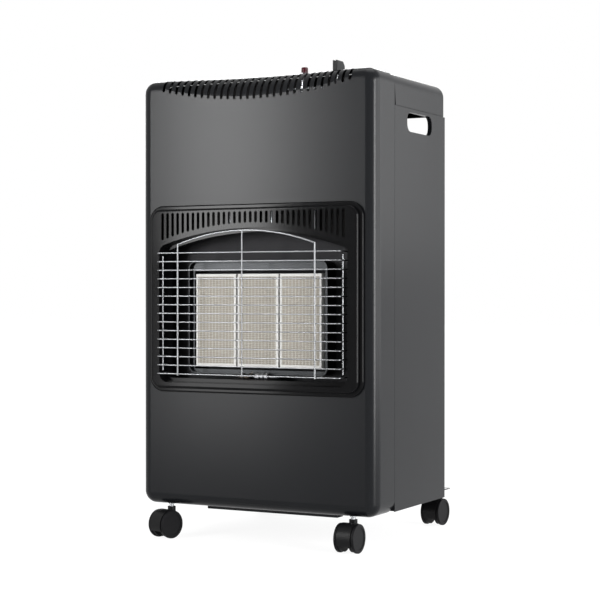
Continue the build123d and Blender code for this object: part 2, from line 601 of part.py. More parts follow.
# ---- base tray: it carries the cylinder, the panels and the four caster sockets ----
with BuildPart() as base_tray:
    block((-TRAY_FRONT_HALF, TRAY_FRONT_HALF), (TRAY_FRONT_DEPTH, REAR_START), (TRAY_BOTTOM, TRAY_TOP))
    block((-(INNER_HALF - SEAT_GAP), INNER_HALF - SEAT_GAP), (REAR_START, SIDE_REAR_DEPTH - SHEET),
          (TRAY_BOTTOM, TRAY_TOP))
    with BuildSketch(Plane.XY.offset(TRAY_BOTTOM)) as rear_shelf:
        with Locations((0, FRONT_Y + (SIDE_REAR_DEPTH + TRAY_REAR_DEPTH) / 2 - SHEET)):
            Rectangle(2 * TRAY_REAR_HALF, TRAY_REAR_DEPTH - SIDE_REAR_DEPTH + 2 * SHEET)
        fillet(rear_shelf.vertices().group_by(Axis.Y)[-1], TRAY_REAR_CORNER)
    extrude(amount=TRAY_THICKNESS)
    block((-(INNER_HALF - SHELL_CORNER_RADIUS), INNER_HALF - SHELL_CORNER_RADIUS),
          (SHELL_EDGE_RADIUS + SEAT_GAP, SHELL_EDGE_RADIUS + SEAT_GAP + SHEET),
          (CABINET_BOTTOM + SHEET, TRAY_BOTTOM))
    block((-(COVER_REAR_HALF - COVER_CORNER), COVER_REAR_HALF - COVER_CORNER),
          (COVER_REAR_DEPTH - 2 * SHEET - 2 * SEAT_GAP, COVER_REAR_DEPTH - SHEET - 2 * SEAT_GAP),
          (TRAY_TOP, TRAY_TOP + TRAY_LIP_HEIGHT))
    block((-SEAT_HALF, SEAT_HALF), (SEAT_FRONT_DEPTH, SEAT_REAR_DEPTH), (TRAY_TOP, TRAY_TOP + SEAT_RISE))
    block((-(SEAT_HALF - SHEET), SEAT_HALF - SHEET), (SEAT_FRONT_DEPTH + SHEET, SEAT_REAR_DEPTH - SHEET),
          (TRAY_BOTTOM - 1, TRAY_BOTTOM + SEAT_RISE), mode=Mode.SUBTRACT)
    block((-STIFFENER_HALF, STIFFENER_HALF), (STIFFENER_DEPTH, STIFFENER_DEPTH + STIFFENER_RUN),
          (STIFFENER_BOTTOM, TRAY_BOTTOM))
    block((-STIFFENER_HALF - 1, STIFFENER_HALF + 1),
          (STIFFENER_DEPTH + SHEET, STIFFENER_DEPTH + STIFFENER_RUN - SHEET),
          (STIFFENER_BOTTOM + SHEET, TRAY_BOTTOM), mode=Mode.SUBTRACT)
    for _, side, stem_depth, _ in CASTER_HEADINGS:
        post(side * STEM_X, stem_depth, (SOCKET_BOTTOM, SOCKET_TOP), SOCKET)
        post(side * STEM_X, stem_depth, (SOCKET_BOTTOM - 1, SOCKET_TOP + 1), STEM + 2 * RUNNING_CLEARANCE,
             mode=Mode.SUBTRACT)
base_tray.part.label = "base_tray"
export_step(base_tray.part, "parts/base_tray.step")


def cover_plan(inset):
    """The rear cover's plan, seen from above, drawn in by inset."""
    with BuildSketch() as plan:
        Polygon((-COVER_FRONT_HALF, FRONT_Y + SIDE_REAR_DEPTH),
                (COVER_FRONT_HALF, FRONT_Y + SIDE_REAR_DEPTH),
                (COVER_REAR_HALF, FRONT_Y + COVER_REAR_DEPTH),
                (-COVER_REAR_HALF, FRONT_Y + COVER_REAR_DEPTH), align=None)
        fillet(plan.vertices().group_by(Axis.Y)[-1], COVER_CORNER)
        if inset:
            offset(amount=-inset, kind=Kind.INTERSECTION)
    return plan.sketch


# ---- rear cover: a bowed sheet that closes the cylinder bay, open at its head and foot ----
with BuildPart() as rear_cover:
    with BuildSketch(Plane.XY.offset(COVER_BOTTOM)):
        add(cover_plan(0))
    extrude(amount=COVER_TOP - COVER_BOTTOM)
    with BuildSketch(Plane.XY.offset(COVER_BOTTOM - 1)):
        add(cover_plan(SHEET))
    extrude(amount=COVER_TOP - COVER_BOTTOM + 1 - SHEET, mode=Mode.SUBTRACT)
    with BuildSketch(Plane.XY.offset(COVER_TOP - 2 * SHEET)):
        add(cover_plan(COVER_HEM))
    extrude(amount=3 * SHEET, mode=Mode.SUBTRACT)
    block((-(COVER_FRONT_HALF - SHEET), COVER_FRONT_HALF - SHEET),
          (SIDE_REAR_DEPTH - 1, SIDE_REAR_DEPTH + SHEET), (COVER_BOTTOM - 1, COVER_TOP + 1),
          mode=Mode.SUBTRACT)
    block((-(COVER_FRONT_HALF - 2 * COVER_HEM), COVER_FRONT_HALF - 2 * COVER_HEM),
          (SIDE_REAR_DEPTH, SIDE_REAR_DEPTH + 2 * COVER_HEM), (COVER_TOP - 2 * SHEET, COVER_TOP + 1),
          mode=Mode.SUBTRACT)
    for side in (-1, 1):
        block((side * (COVER_FRONT_HALF - SHEET), side * COVER_FLANGE_HALF),
              (SIDE_REAR_DEPTH, SIDE_REAR_DEPTH + SHEET), (COVER_BOTTOM, COVER_TOP))
        for height in THUMBSCREW_HEIGHTS:
            bar(side * THUMBSCREW_X, (SIDE_REAR_DEPTH - 1, SIDE_REAR_DEPTH + 2 * SHEET), height,
                THUMBSCREW_SHANK + 2 * SCREW_ROOM, mode=Mode.SUBTRACT)
    for louvre_height in (LOUVRE_LOW, LOUVRE_HIGH):
        with BuildSketch(depth_plane(COVER_REAR_DEPTH + 1)):
            with Locations((0, louvre_height)):
                with GridLocations(LOUVRE_PITCH_X, LOUVRE_PITCH_Z, LOUVRE_COLUMNS, LOUVRE_ROWS):
                    SlotOverall(LOUVRE_LENGTH, LOUVRE_HEIGHT)
        extrude(amount=2 * SHEET + 1, mode=Mode.SUBTRACT)
rear_cover.part.label = "rear_cover"
export_step(rear_cover.part, "parts/rear_cover.step")

# ---- four captive thumbscrews in the rear cover's flanges ----
with BuildPart() as rear_cover_thumbscrews:
    head_start = SIDE_REAR_DEPTH + SHEET
    for side in (-1, 1):
        for height in THUMBSCREW_HEIGHTS:
            bar(side * THUMBSCREW_X, (head_start, head_start + THUMBSCREW_HEAD_LENGTH), height,
                THUMBSCREW_HEAD)
            bar(side * THUMBSCREW_X, (head_start - THUMBSCREW_REACH, head_start), height, THUMBSCREW_SHANK)
rear_cover_thumbscrews.part.label = "rear_cover_thumbscrews"
export_step(rear_cover_thumbscrews.part, "parts/rear_cover_thumbscrews.step")

# ---- six screws hold the side panels to the heat shield ----
with BuildPart() as panel_screws:
    flange_rear = REAR_START + SHEET
    for side in (-1, 1):
        for height in SCREW_HEIGHTS:
            bar(side * SCREW_X, (flange_rear, flange_rear + SCREW_HEAD_HEIGHT), height, SCREW_HEAD)
            bar(side * SCREW_X, (flange_rear - SCREW_REACH, flange_rear), height, SCREW_SHANK)
panel_screws.part.label = "panel_screws"
export_step(panel_screws.part, "parts/panel_screws.step")

# ---- window bezel: a stepped surround with an arched opening and a row of vent slots ----
with BuildPart() as window_bezel:
    with BuildSketch(depth_plane(0)):
        add(rounded_outline(BEZEL_HALF, BEZEL_BOTTOM, BEZEL_TOP, BEZEL_CORNER))
    extrude(amount=BEZEL_RIM)
    fillet(window_bezel.faces().sort_by(Axis.Y)[0].edges(), BEZEL_RIM_ROUND)
    with BuildSketch(depth_plane(0)):
        add(rounded_outline(BEZEL_HALF - BEZEL_INSET, BEZEL_BOTTOM + BEZEL_INSET, BEZEL_TOP - BEZEL_INSET,
                            BEZEL_CORNER - BEZEL_INSET))
    extrude(amount=BEZEL_FIELD)
    fillet(window_bezel.faces().sort_by(Axis.Y)[0].edges(), BEZEL_FIELD_ROUND)
    with BuildSketch(depth_plane(0)):
        add(rounded_outline(BEZEL_HALF - BEZEL_INSET - BEZEL_FIELD_ROUND,
                            BEZEL_BOTTOM + BEZEL_INSET + BEZEL_FIELD_ROUND,
                            BEZEL_TOP - BEZEL_INSET - BEZEL_FIELD_ROUND,
                            BEZEL_CORNER - BEZEL_INSET - BEZEL_FIELD_ROUND))
    extrude(amount=BEZEL_FIELD - BEZEL_WALL, mode=Mode.SUBTRACT)
    with BuildSketch(depth_plane(LEDGE_DEPTH + BEZEL_WALL)):
        add(arched_outline(BEZEL_WALL))
    extrude(amount=LEDGE_DEPTH + BEZEL_FIELD - BEZEL_WALL / 2 + BEZEL_WALL)
    with BuildSketch(depth_plane(DUCT_DEPTH)):
        add(arched_outline(BEZEL_WALL - LEDGE_WIDTH))
    extrude(amount=DUCT_DEPTH - LEDGE_DEPTH)
    with BuildSketch(depth_plane(LEDGE_DEPTH)):
        add(arched_outline(0))
    extrude(amount=LEDGE_DEPTH + BEZEL_FIELD + 1, mode=Mode.SUBTRACT)
    with BuildSketch(depth_plane(DUCT_DEPTH + 1)):
        add(arched_outline(-LEDGE_WIDTH))
    extrude(amount=DUCT_DEPTH + BEZEL_FIELD, mode=Mode.SUBTRACT)
    with BuildSketch(depth_plane(0)):
        for number in range(BEZEL_SLOTS):
            slot_x = (2 * number / (BEZEL_SLOTS - 1) - 1) * BEZEL_SLOT_HALF
            slot_foot = BEZEL_SLOT_MARGIN + arch_height(slot_x, OPENING_HALF, OPENING_SPRING, OPENING_APEX)
            with Locations((slot_x, (slot_foot + BEZEL_SLOT_TOP) / 2)):
                SlotOverall(BEZEL_SLOT_TOP - slot_foot, BEZEL_SLOT_WIDTH, rotation=90)
    extrude(amount=BEZEL_FIELD + 1, mode=Mode.SUBTRACT)
window_bezel.part.label = "window_bezel"
export_step(window_bezel.part, "parts/window_bezel.step")

# ---- reflector: the pan behind the burners, which slips over the bezel's duct ----
pan_grow = BEZEL_WALL - LEDGE_WIDTH + REFLECTOR_CLEARANCE
burners_half = BURNER_PITCH + BURNER_WIDTH / 2
with BuildPart() as reflector:
    with BuildSketch(depth_plane(REFLECTOR_DEPTH + SHEET)):
        add(arched_outline(pan_grow + SHEET))
    extrude(amount=SHEET + REFLECTOR_DEPTH - DUCT_DEPTH + REFLECTOR_OVERLAP)
    with BuildSketch(depth_plane(REFLECTOR_DEPTH)):
        add(arched_outline(pan_grow))
    extrude(amount=REFLECTOR_DEPTH - DUCT_DEPTH + REFLECTOR_OVERLAP + 1, mode=Mode.SUBTRACT)
    block((-burners_half - SEAT_GAP, burners_half + SEAT_GAP),
          (REFLECTOR_DEPTH - 1, REFLECTOR_DEPTH + 2 * SHEET),
          (BURNER_BOTTOM - SEAT_GAP, BURNER_TOP + SEAT_GAP), mode=Mode.SUBTRACT)
    for hole_x, tube_diameter in ((PILOT_PIPE_X, PILOT_PIPE), (THERMOCOUPLE_X, THERMOCOUPLE_LEAD),
                                  (ELECTRODE_X, IGNITION_LEAD)):
        bar(hole_x, (REFLECTOR_DEPTH - 1, REFLECTOR_DEPTH + 2 * SHEET), PILOT_HEIGHT,
            tube_diameter + 2 * LEAD_HOLE_ROOM, mode=Mode.SUBTRACT)
reflector.part.label = "reflector"
export_step(reflector.part, "parts/reflector.step")

# ---- burner frame: the bright rounded tray that surrounds the three burners ----
with BuildPart() as burner_frame:
    with BuildSketch(depth_plane(REFLECTOR_DEPTH)):
        add(rounded_outline(FRAME_HALF, FRAME_BOTTOM, FRAME_TOP, FRAME_CORNER))
    extrude(amount=REFLECTOR_DEPTH - FRAME_LIP_DEPTH)
    with BuildSketch(depth_plane(FRAME_FACE_DEPTH)):
        add(rounded_outline(FRAME_HALF - SHEET, FRAME_BOTTOM + SHEET, FRAME_TOP - SHEET,
                            FRAME_CORNER - SHEET))
    extrude(amount=FRAME_FACE_DEPTH, mode=Mode.SUBTRACT)
    with BuildSketch(depth_plane(REFLECTOR_DEPTH + 1)):
        add(rounded_outline(FRAME_HALF - SHEET, FRAME_BOTTOM + SHEET, FRAME_TOP - SHEET,
                            FRAME_CORNER - SHEET))
    extrude(amount=REFLECTOR_DEPTH + 1 - FRAME_FACE_DEPTH - SHEET, mode=Mode.SUBTRACT)
    block((-burners_half - FRAME_HOLE_MARGIN, burners_half + FRAME_HOLE_MARGIN),
          (0, REFLECTOR_DEPTH + 1), (BURNER_BOTTOM - FRAME_HOLE_MARGIN, BURNER_TOP + FRAME_HOLE_MARGIN),
          mode=Mode.SUBTRACT)
burner_frame.part.label = "burner_frame"
export_step(burner_frame.part, "parts/burner_frame.step")

# ---- three burners: a ceramic plaque in a fibre gasket on the mouth of each sheet-metal plenum ----
box_front = BURNER_FACE_DEPTH + PLAQUE_THICKNESS
for number, burner_name in enumerate(BURNER_NAMES):
    burner_x = (number - 1) * BURNER_PITCH
    low, high = burner_x - BURNER_WIDTH / 2, burner_x + BURNER_WIDTH / 2
    with BuildPart() as plaque:
        block((low + PLAQUE_SIDE_MARGIN, high - PLAQUE_SIDE_MARGIN),
              (BURNER_FACE_DEPTH - PLAQUE_PROUD, box_front),
              (BURNER_BOTTOM + PLAQUE_END_MARGIN, BURNER_TOP - PLAQUE_END_MARGIN))
    plaque.part.label = f"plaque_{burner_name}"
    export_step(plaque.part, f"parts/plaque_{burner_name}.step")

    with BuildPart() as burner_box:
        block((low, high), (box_front, BURNER_REAR_DEPTH), (BURNER_BOTTOM, BURNER_TOP))
        block((low + SHEET, high - SHEET), (box_front + SHEET, BURNER_REAR_DEPTH - SHEET),
              (BURNER_BOTTOM + SHEET, BURNER_TOP - SHEET), mode=Mode.SUBTRACT)
        block((low + BURNER_LIP, high - BURNER_LIP), (box_front - 1, box_front + 2 * SHEET),
              (BURNER_BOTTOM + BURNER_LIP, BURNER_TOP - BURNER_LIP), mode=Mode.SUBTRACT)
        block((low, high), (REFLECTOR_DEPTH + SHEET, REFLECTOR_DEPTH + 2 * SHEET),
              (BURNER_BOTTOM - BURNER_FLANGE, BURNER_BOTTOM))
        block((low, high), (REFLECTOR_DEPTH + SHEET, REFLECTOR_DEPTH + 2 * SHEET),
              (BURNER_TOP, BURNER_TOP + BURNER_FLANGE))
        post(burner_x, MIXING_TUBE_DEPTH, (MIXING_TUBE_MOUTH, BURNER_BOTTOM + SHEET), MIXING_TUBE)
        post(burner_x, MIXING_TUBE_DEPTH, (MIXING_TUBE_MOUTH - 1, BURNER_BOTTOM + 2 * SHEET),
             MIXING_TUBE - 2 * SHEET, mode=Mode.SUBTRACT)
    burner_box.part.label = f"burner_box_{burner_name}"
    export_step(burner_box.part, f"parts/burner_box_{burner_name}.step")

    outlet_x = VALVE_X + (number - 1) * FEED_OUTLET_PITCH
    lane = CABINET_TOP - FEED_LANE_DROPS[number]
    with BuildPart() as feed_pipe:
        add(bent_rod([(outlet_x, FEED_DEPTH, VALVE_BOTTOM), (outlet_x, FEED_DEPTH, lane),
                      (burner_x, FEED_DEPTH, lane), (burner_x, FEED_DEPTH, FEED_LOW),
                      (burner_x, MIXING_TUBE_DEPTH, FEED_LOW),
                      (burner_x, MIXING_TUBE_DEPTH, INJECTOR_BOTTOM)], FEED_BENDS, FEED_PIPE))
    feed_pipe.part.label = f"feed_pipe_{burner_name}"
    export_step(feed_pipe.part, f"parts/feed_pipe_{burner_name}.step")

with BuildPart() as plaque_gaskets:
    for number in range(len(BURNER_NAMES)):
        burner_x = (number - 1) * BURNER_PITCH
        low, high = burner_x - BURNER_WIDTH / 2, burner_x + BURNER_WIDTH / 2
        block((low, high), (BURNER_FACE_DEPTH, box_front), (BURNER_BOTTOM, BURNER_TOP))
        block((low + PLAQUE_SIDE_MARGIN - PLAQUE_CLEARANCE, high - PLAQUE_SIDE_MARGIN + PLAQUE_CLEARANCE),
              (BURNER_FACE_DEPTH - 1, box_front + 1),
              (BURNER_BOTTOM + PLAQUE_END_MARGIN - PLAQUE_CLEARANCE,
               BURNER_TOP - PLAQUE_END_MARGIN + PLAQUE_CLEARANCE), mode=Mode.SUBTRACT)
plaque_gaskets.part.label = "plaque_gaskets"
export_step(plaque_gaskets.part, "parts/plaque_gaskets.step")

with BuildPart() as injectors:
    for number in range(len(BURNER_NAMES)):
        burner_x = (number - 1) * BURNER_PITCH
        with BuildSketch(Plane(origin=(burner_x, FRONT_Y + MIXING_TUBE_DEPTH, INJECTOR_BOTTOM))):
            RegularPolygon(INJECTOR_HEX / 2, 6, major_radius=False)
        extrude(amount=INJECTOR_BAR_HEIGHT - INJECTOR_BOTTOM)
        post(burner_x, MIXING_TUBE_DEPTH, (INJECTOR_BAR_HEIGHT, INJECTOR_TOP), INJECTOR_TIP)
    chamfer(injectors.edges().group_by(Axis.Z)[-1], INJECTOR_TIP / 4)
injectors.part.label = "injectors"
export_step(injectors.part, "parts/injectors.step")

with BuildPart() as injector_bar:
    block((-INJECTOR_BAR_HALF, INJECTOR_BAR_HALF), (MIXING_TUBE_DEPTH - INJECTOR_HEX, SHIELD_DEPTH),
          (INJECTOR_BAR_HEIGHT, INJECTOR_BAR_HEIGHT + SHEET))
    block((-INJECTOR_BAR_HALF, INJECTOR_BAR_HALF), (SHIELD_DEPTH - SHEET, SHIELD_DEPTH),
          (INJECTOR_BAR_HEIGHT, INJECTOR_BAR_HEIGHT + INJECTOR_BAR_LEG))
    for number in range(len(BURNER_NAMES)):
        burner_x = (number - 1) * BURNER_PITCH
        post(burner_x, MIXING_TUBE_DEPTH, (INJECTOR_BAR_HEIGHT - 1, INJECTOR_BAR_HEIGHT + 2 * SHEET),
             INJECTOR_TIP + 2 * SCREW_ROOM, mode=Mode.SUBTRACT)
        post(burner_x, FEED_DEPTH, (INJECTOR_BAR_HEIGHT - 1, INJECTOR_BAR_HEIGHT + 2 * SHEET),
             FEED_PIPE + 2 * SCREW_ROOM, mode=Mode.SUBTRACT)
injector_bar.part.label = "injector_bar"
export_step(injector_bar.part, "parts/injector_bar.step")

# ---- wire guard: level wires bent back at both ends, an arched wire over them, and ties on the legs ----
with BuildPart() as wire_guard:
    for row in range(GUARD_ROWS):
        height = GUARD_BOTTOM + row * GUARD_PITCH
        add(bent_rod([(-GUARD_HALF, LEDGE_DEPTH, height), (-GUARD_HALF, -GUARD_STANDOFF, height),
                      (GUARD_HALF, -GUARD_STANDOFF, height), (GUARD_HALF, LEDGE_DEPTH, height)],
                     GUARD_BEND, GUARD_WIRE))
    arch_depth = GUARD_WELD - GUARD_STANDOFF - (GUARD_WIRE + GUARD_ARCH_WIRE) / 2
    with BuildLine() as arch_route:
        rise = ThreePointArc((-ARCH_HALF, FRONT_Y + arch_depth, ARCH_SHOULDER),
                             (0, FRONT_Y + arch_depth, ARCH_APEX),
                             (ARCH_HALF, FRONT_Y + arch_depth, ARCH_SHOULDER))
    with BuildSketch(Plane(origin=arch_route.line @ 0, z_dir=arch_route.line % 0)):
        Circle(GUARD_ARCH_WIRE / 2)
    sweep(path=arch_route.line)
    for side in (-1, 1):
        post(side * ARCH_HALF, arch_depth, (GUARD_BOTTOM - GUARD_WIRE, ARCH_SHOULDER), GUARD_ARCH_WIRE)
        with Locations((side * ARCH_HALF, FRONT_Y + arch_depth, ARCH_SHOULDER)):
            Sphere(GUARD_ARCH_WIRE / 2)
        tie_x = side * (GUARD_HALF - GUARD_WIRE + GUARD_WELD)
        post(tie_x, GUARD_TIE_DEPTH, (GUARD_BOTTOM + GUARD_TIE_MARGIN, GUARD_TOP - GUARD_TIE_MARGIN),
             GUARD_WIRE)
    post(GUARD_MIDDLE, arch_depth, (GUARD_BOTTOM - GUARD_WIRE, ARCH_APEX), GUARD_WIRE)
wire_guard.part.label = "wire_guard"
export_step(wire_guard.part, "parts/wire_guard.step")

# ---- control bracket: it hangs from the heat shield and carries the gas valve and the igniter ----
with BuildPart() as control_bracket:
    block((BRACKET_LEFT, BRACKET_RIGHT), (BRACKET_FRONT_DEPTH, SHIELD_DEPTH),
          (BRACKET_HEIGHT, BRACKET_HEIGHT + SHEET))
    block((BRACKET_LEFT, BRACKET_RIGHT), (SHIELD_DEPTH - SHEET, SHIELD_DEPTH),
          (BRACKET_HEIGHT - BRACKET_LEG, BRACKET_HEIGHT))
    post(VALVE_X, CONTROL_DEPTH, (BRACKET_HEIGHT - 1, BRACKET_HEIGHT + 2 * SHEET),
         VALVE_NECK + NECK_HOLE_ROOM, mode=Mode.SUBTRACT)
    post(IGNITER_X, CONTROL_DEPTH, (BRACKET_HEIGHT - 1, BRACKET_HEIGHT + 2 * SHEET),
         IGNITER_NECK + NECK_HOLE_ROOM, mode=Mode.SUBTRACT)
control_bracket.part.label = "control_bracket"
export_step(control_bracket.part, "parts/control_bracket.step")

# ---- gas valve: a cast body, a plug that turns inside it, and a spindle that slides in the plug ----
valve_rear = CONTROL_DEPTH + VALVE_BODY[1] / 2
plug_top = BRACKET_HEIGHT - VALVE_PLUG_ROOF
plug_bottom = plug_top - VALVE_PLUG_LENGTH
with BuildPart() as gas_valve:
    block((VALVE_X - VALVE_BODY[0] / 2, VALVE_X + VALVE_BODY[0] / 2),
          (CONTROL_DEPTH - VALVE_BODY[1] / 2, valve_rear), (VALVE_BOTTOM, BRACKET_HEIGHT))
    fillet(gas_valve.edges().filter_by(Axis.Z), VALVE_ROUND)
    post(VALVE_X, CONTROL_DEPTH, (BRACKET_HEIGHT, VALVE_NECK_TOP), VALVE_NECK)
    post(VALVE_X, CONTROL_DEPTH, (plug_bottom, plug_top),
         VALVE_PLUG + 2 * RUNNING_CLEARANCE, mode=Mode.SUBTRACT)
    post(VALVE_X, CONTROL_DEPTH, (plug_bottom, VALVE_NECK_TOP + 1), SPINDLE + 2 * RUNNING_CLEARANCE,
         mode=Mode.SUBTRACT)
gas_valve.part.label = "gas_valve"
export_step(gas_valve.part, "parts/gas_valve.step")

with BuildPart() as valve_plug:
    post(VALVE_X, CONTROL_DEPTH, (plug_bottom + RUNNING_CLEARANCE, plug_top - RUNNING_CLEARANCE), VALVE_PLUG)
    post(VALVE_X, CONTROL_DEPTH, (plug_top - SPINDLE_SOCKET - KNOB_TRAVEL - STOP_ROOM, plug_top),
         SPINDLE + 2 * RUNNING_CLEARANCE, mode=Mode.SUBTRACT)
valve_plug.part.label = "valve_plug"
export_step(valve_plug.part, "parts/valve_plug.step")

spindle_top = KNOB_BOTTOM + KNOB_SKIRT_HEIGHT
with BuildPart() as valve_spindle:
    post(VALVE_X, CONTROL_DEPTH, (plug_top - SPINDLE_SOCKET, spindle_top), SPINDLE)
valve_spindle.part.label = "valve_spindle"
export_step(valve_spindle.part, "parts/valve_spindle.step")

# ---- control knob: a skirt that sits in the hole of the top, and a blade whose rear end slopes down ----
with BuildPart() as control_knob:
    post(VALVE_X, CONTROL_DEPTH, (KNOB_BOTTOM, KNOB_BOTTOM + KNOB_SKIRT_HEIGHT), KNOB_SKIRT)
    fillet(control_knob.edges().group_by(Axis.Z)[-1], 1.5)
    with BuildSketch(Plane(origin=(VALVE_X - KNOB_BLADE_WIDTH / 2, FRONT_Y + CONTROL_DEPTH, KNOB_BOTTOM),
                           x_dir=(0, 1, 0), z_dir=(1, 0, 0))) as blade_side:
        half_blade = KNOB_BLADE_LENGTH / 2
        with BuildLine():
            Polyline((-half_blade, 0), (half_blade, 0), (half_blade - KNOB_TAPER, KNOB_HEIGHT - KNOB_SLOPE),
                     (KNOB_CREST, KNOB_HEIGHT), (-half_blade, KNOB_HEIGHT), close=True)
        make_face()
        fillet(blade_side.vertices().group_by(Axis.Y)[-1].sort_by(Axis.X)[-1], KNOB_REAR_ROUND)
    extrude(amount=KNOB_BLADE_WIDTH)
    fillet(control_knob.edges().group_by(Axis.Z)[-1].filter_by(Axis.Y), 1)
    post(VALVE_X, CONTROL_DEPTH, (KNOB_BOTTOM - 1, spindle_top), SPINDLE + 2 * RUNNING_CLEARANCE,
         mode=Mode.SUBTRACT)
control_knob.part.label = "control_knob"
export_step(control_knob.part, "parts/control_knob.step")

# ---- igniter: a piezo body whose neck passes the bracket and the shell, and its red push button ----
button_bottom = BUTTON_TOP - BUTTON_LENGTH
with BuildPart() as igniter_body:
    post(IGNITER_X, CONTROL_DEPTH, (IGNITER_BOTTOM, BRACKET_HEIGHT), IGNITER_BODY)
    post(IGNITER_X, CONTROL_DEPTH, (BRACKET_HEIGHT, CABINET_TOP + IGNITER_COLLAR), IGNITER_NECK)
    post(IGNITER_X, CONTROL_DEPTH,
         (button_bottom - IGNITER_TRAVEL - STOP_ROOM, CABINET_TOP + IGNITER_COLLAR + 1),
         BUTTON + 2 * RUNNING_CLEARANCE, mode=Mode.SUBTRACT)
igniter_body.part.label = "igniter_body"
export_step(igniter_body.part, "parts/igniter_body.step")

with BuildPart() as igniter_button:
    post(IGNITER_X, CONTROL_DEPTH, (button_bottom, BUTTON_TOP), BUTTON)
    fillet(igniter_button.edges().group_by(Axis.Z)[-1], 1.5)
igniter_button.part.label = "igniter_button"
export_step(igniter_button.part, "parts/igniter_button.step")

with BuildPart() as control_nuts:
    for nut_x, neck in ((VALVE_X, VALVE_NECK), (IGNITER_X, IGNITER_NECK)):
        with BuildSketch(Plane(origin=(nut_x, FRONT_Y + CONTROL_DEPTH, BRACKET_HEIGHT + SHEET))):
            RegularPolygon(NUT_WIDTH / 2, 6, major_radius=False)
            Circle(neck / 2 + NECK_HOLE_ROOM / 2, mode=Mode.SUBTRACT)
        extrude(amount=NUT_THICKNESS)
control_nuts.part.label = "control_nuts"
export_step(control_nuts.part, "parts/control_nuts.step")

# ---- inlet nozzle: it passes the heat shield into the valve, with a hose tail in the cylinder bay ----
tail_start = REAR_START + INLET_HEX_LENGTH
tail_end = tail_start + INLET_TAIL_LENGTH
with BuildPart() as inlet_nozzle:
    bar(VALVE_X, (valve_rear, REAR_START), INLET_HEIGHT, INLET_STUB)
    with BuildSketch(depth_plane(REAR_START)):
        with Locations((VALVE_X, INLET_HEIGHT)):
            RegularPolygon(INLET_HEX / 2, 6, major_radius=False)
    extrude(amount=-INLET_HEX_LENGTH)
    bar(VALVE_X, (tail_start, tail_end), INLET_HEIGHT, INLET_TAIL)
    chamfer(inlet_nozzle.edges().group_by(Axis.Y)[-1], INLET_GROOVE)
    for number in range(INLET_GROOVES):
        groove_start = tail_start + INLET_PLAIN + INLET_GROOVE_PITCH * number
        groove = (groove_start, groove_start + INLET_GROOVE_WIDTH)
        bar(VALVE_X, groove, INLET_HEIGHT, INLET_TAIL + INLET_GROOVE, mode=Mode.SUBTRACT)
        bar(VALVE_X, groove, INLET_HEIGHT, INLET_TAIL - 2 * INLET_GROOVE)
    bar(VALVE_X, (tail_start, tail_end + 1), INLET_HEIGHT, INLET_TAIL / 2, mode=Mode.SUBTRACT)
inlet_nozzle.part.label = "inlet_nozzle"
export_step(inlet_nozzle.part, "parts/inlet_nozzle.step")

# ---- pilot group: a plate with the pilot burner, the thermocouple and the spark electrode ----
plate_bottom = OPENING_BOTTOM + LEDGE_WIDTH
electrode_tab_left = (ELECTRODE_X + LEAD_BEND + ELECTRODE_CERAMIC_END - SHEET) / 2
thermocouple_tab_left = (THERMOCOUPLE_X + LEAD_BEND + THERMOCOUPLE_TIP) / 2 - THERMOCOUPLE_TAB_SHIFT
with BuildPart() as pilot_bracket:
    block((PILOT_PLATE_LEFT, PILOT_PLATE_RIGHT), (ELECTRODE_DEPTH - ELECTRODE_CERAMIC, REFLECTOR_DEPTH),
          (plate_bottom, plate_bottom + SHEET))
    block((PILOT_BURNER_LEFT - PILOT_NOTCH_ROOM, PILOT_BURNER_RIGHT),
          (PILOT_DEPTH - PILOT_BURNER / 2, PILOT_DEPTH + PILOT_BURNER / 2),
          (plate_bottom - 1, plate_bottom + SHEET + 1), mode=Mode.SUBTRACT)
    for tab_left, tab_depth, tab_hole in ((PILOT_BURNER_RIGHT, PILOT_DEPTH, PILOT_PIPE + PILOT_TAB_ROOM),
                                          (thermocouple_tab_left, PILOT_DEPTH, THERMOCOUPLE),
                                          (electrode_tab_left, ELECTRODE_DEPTH, ELECTRODE_CERAMIC)):
        tab = (tab_left, tab_left + SHEET)
        block(tab, (tab_depth - PILOT_TAB_WIDTH / 2, tab_depth + PILOT_TAB_WIDTH / 2),
              (plate_bottom, PILOT_TAB_TOP))
        rod(tab, tab_depth, PILOT_HEIGHT, tab_hole + 2 * RUNNING_CLEARANCE, mode=Mode.SUBTRACT)
pilot_bracket.part.label = "pilot_bracket"
export_step(pilot_bracket.part, "parts/pilot_bracket.step")

with BuildPart() as pilot_burner:
    rod((PILOT_BURNER_LEFT, PILOT_BURNER_RIGHT), PILOT_DEPTH, PILOT_HEIGHT, PILOT_BURNER)
    rod((PILOT_BURNER_LEFT, PILOT_BURNER_LEFT + PILOT_MOUTH), PILOT_DEPTH, PILOT_HEIGHT,
        PILOT_BURNER - PILOT_MOUTH, mode=Mode.SUBTRACT)
    for number in range(PILOT_RINGS):
        ring_x = PILOT_BURNER_LEFT + PILOT_RING_PITCH * (number + 1)
        ring = (ring_x, ring_x + PILOT_RING_WIDTH)
        rod(ring, PILOT_DEPTH, PILOT_HEIGHT, PILOT_BURNER + PILOT_MOUTH, mode=Mode.SUBTRACT)
        rod(ring, PILOT_DEPTH, PILOT_HEIGHT, PILOT_BURNER - 2 * PILOT_RING_DEPTH)
pilot_burner.part.label = "pilot_burner"
export_step(pilot_burner.part, "parts/pilot_burner.step")

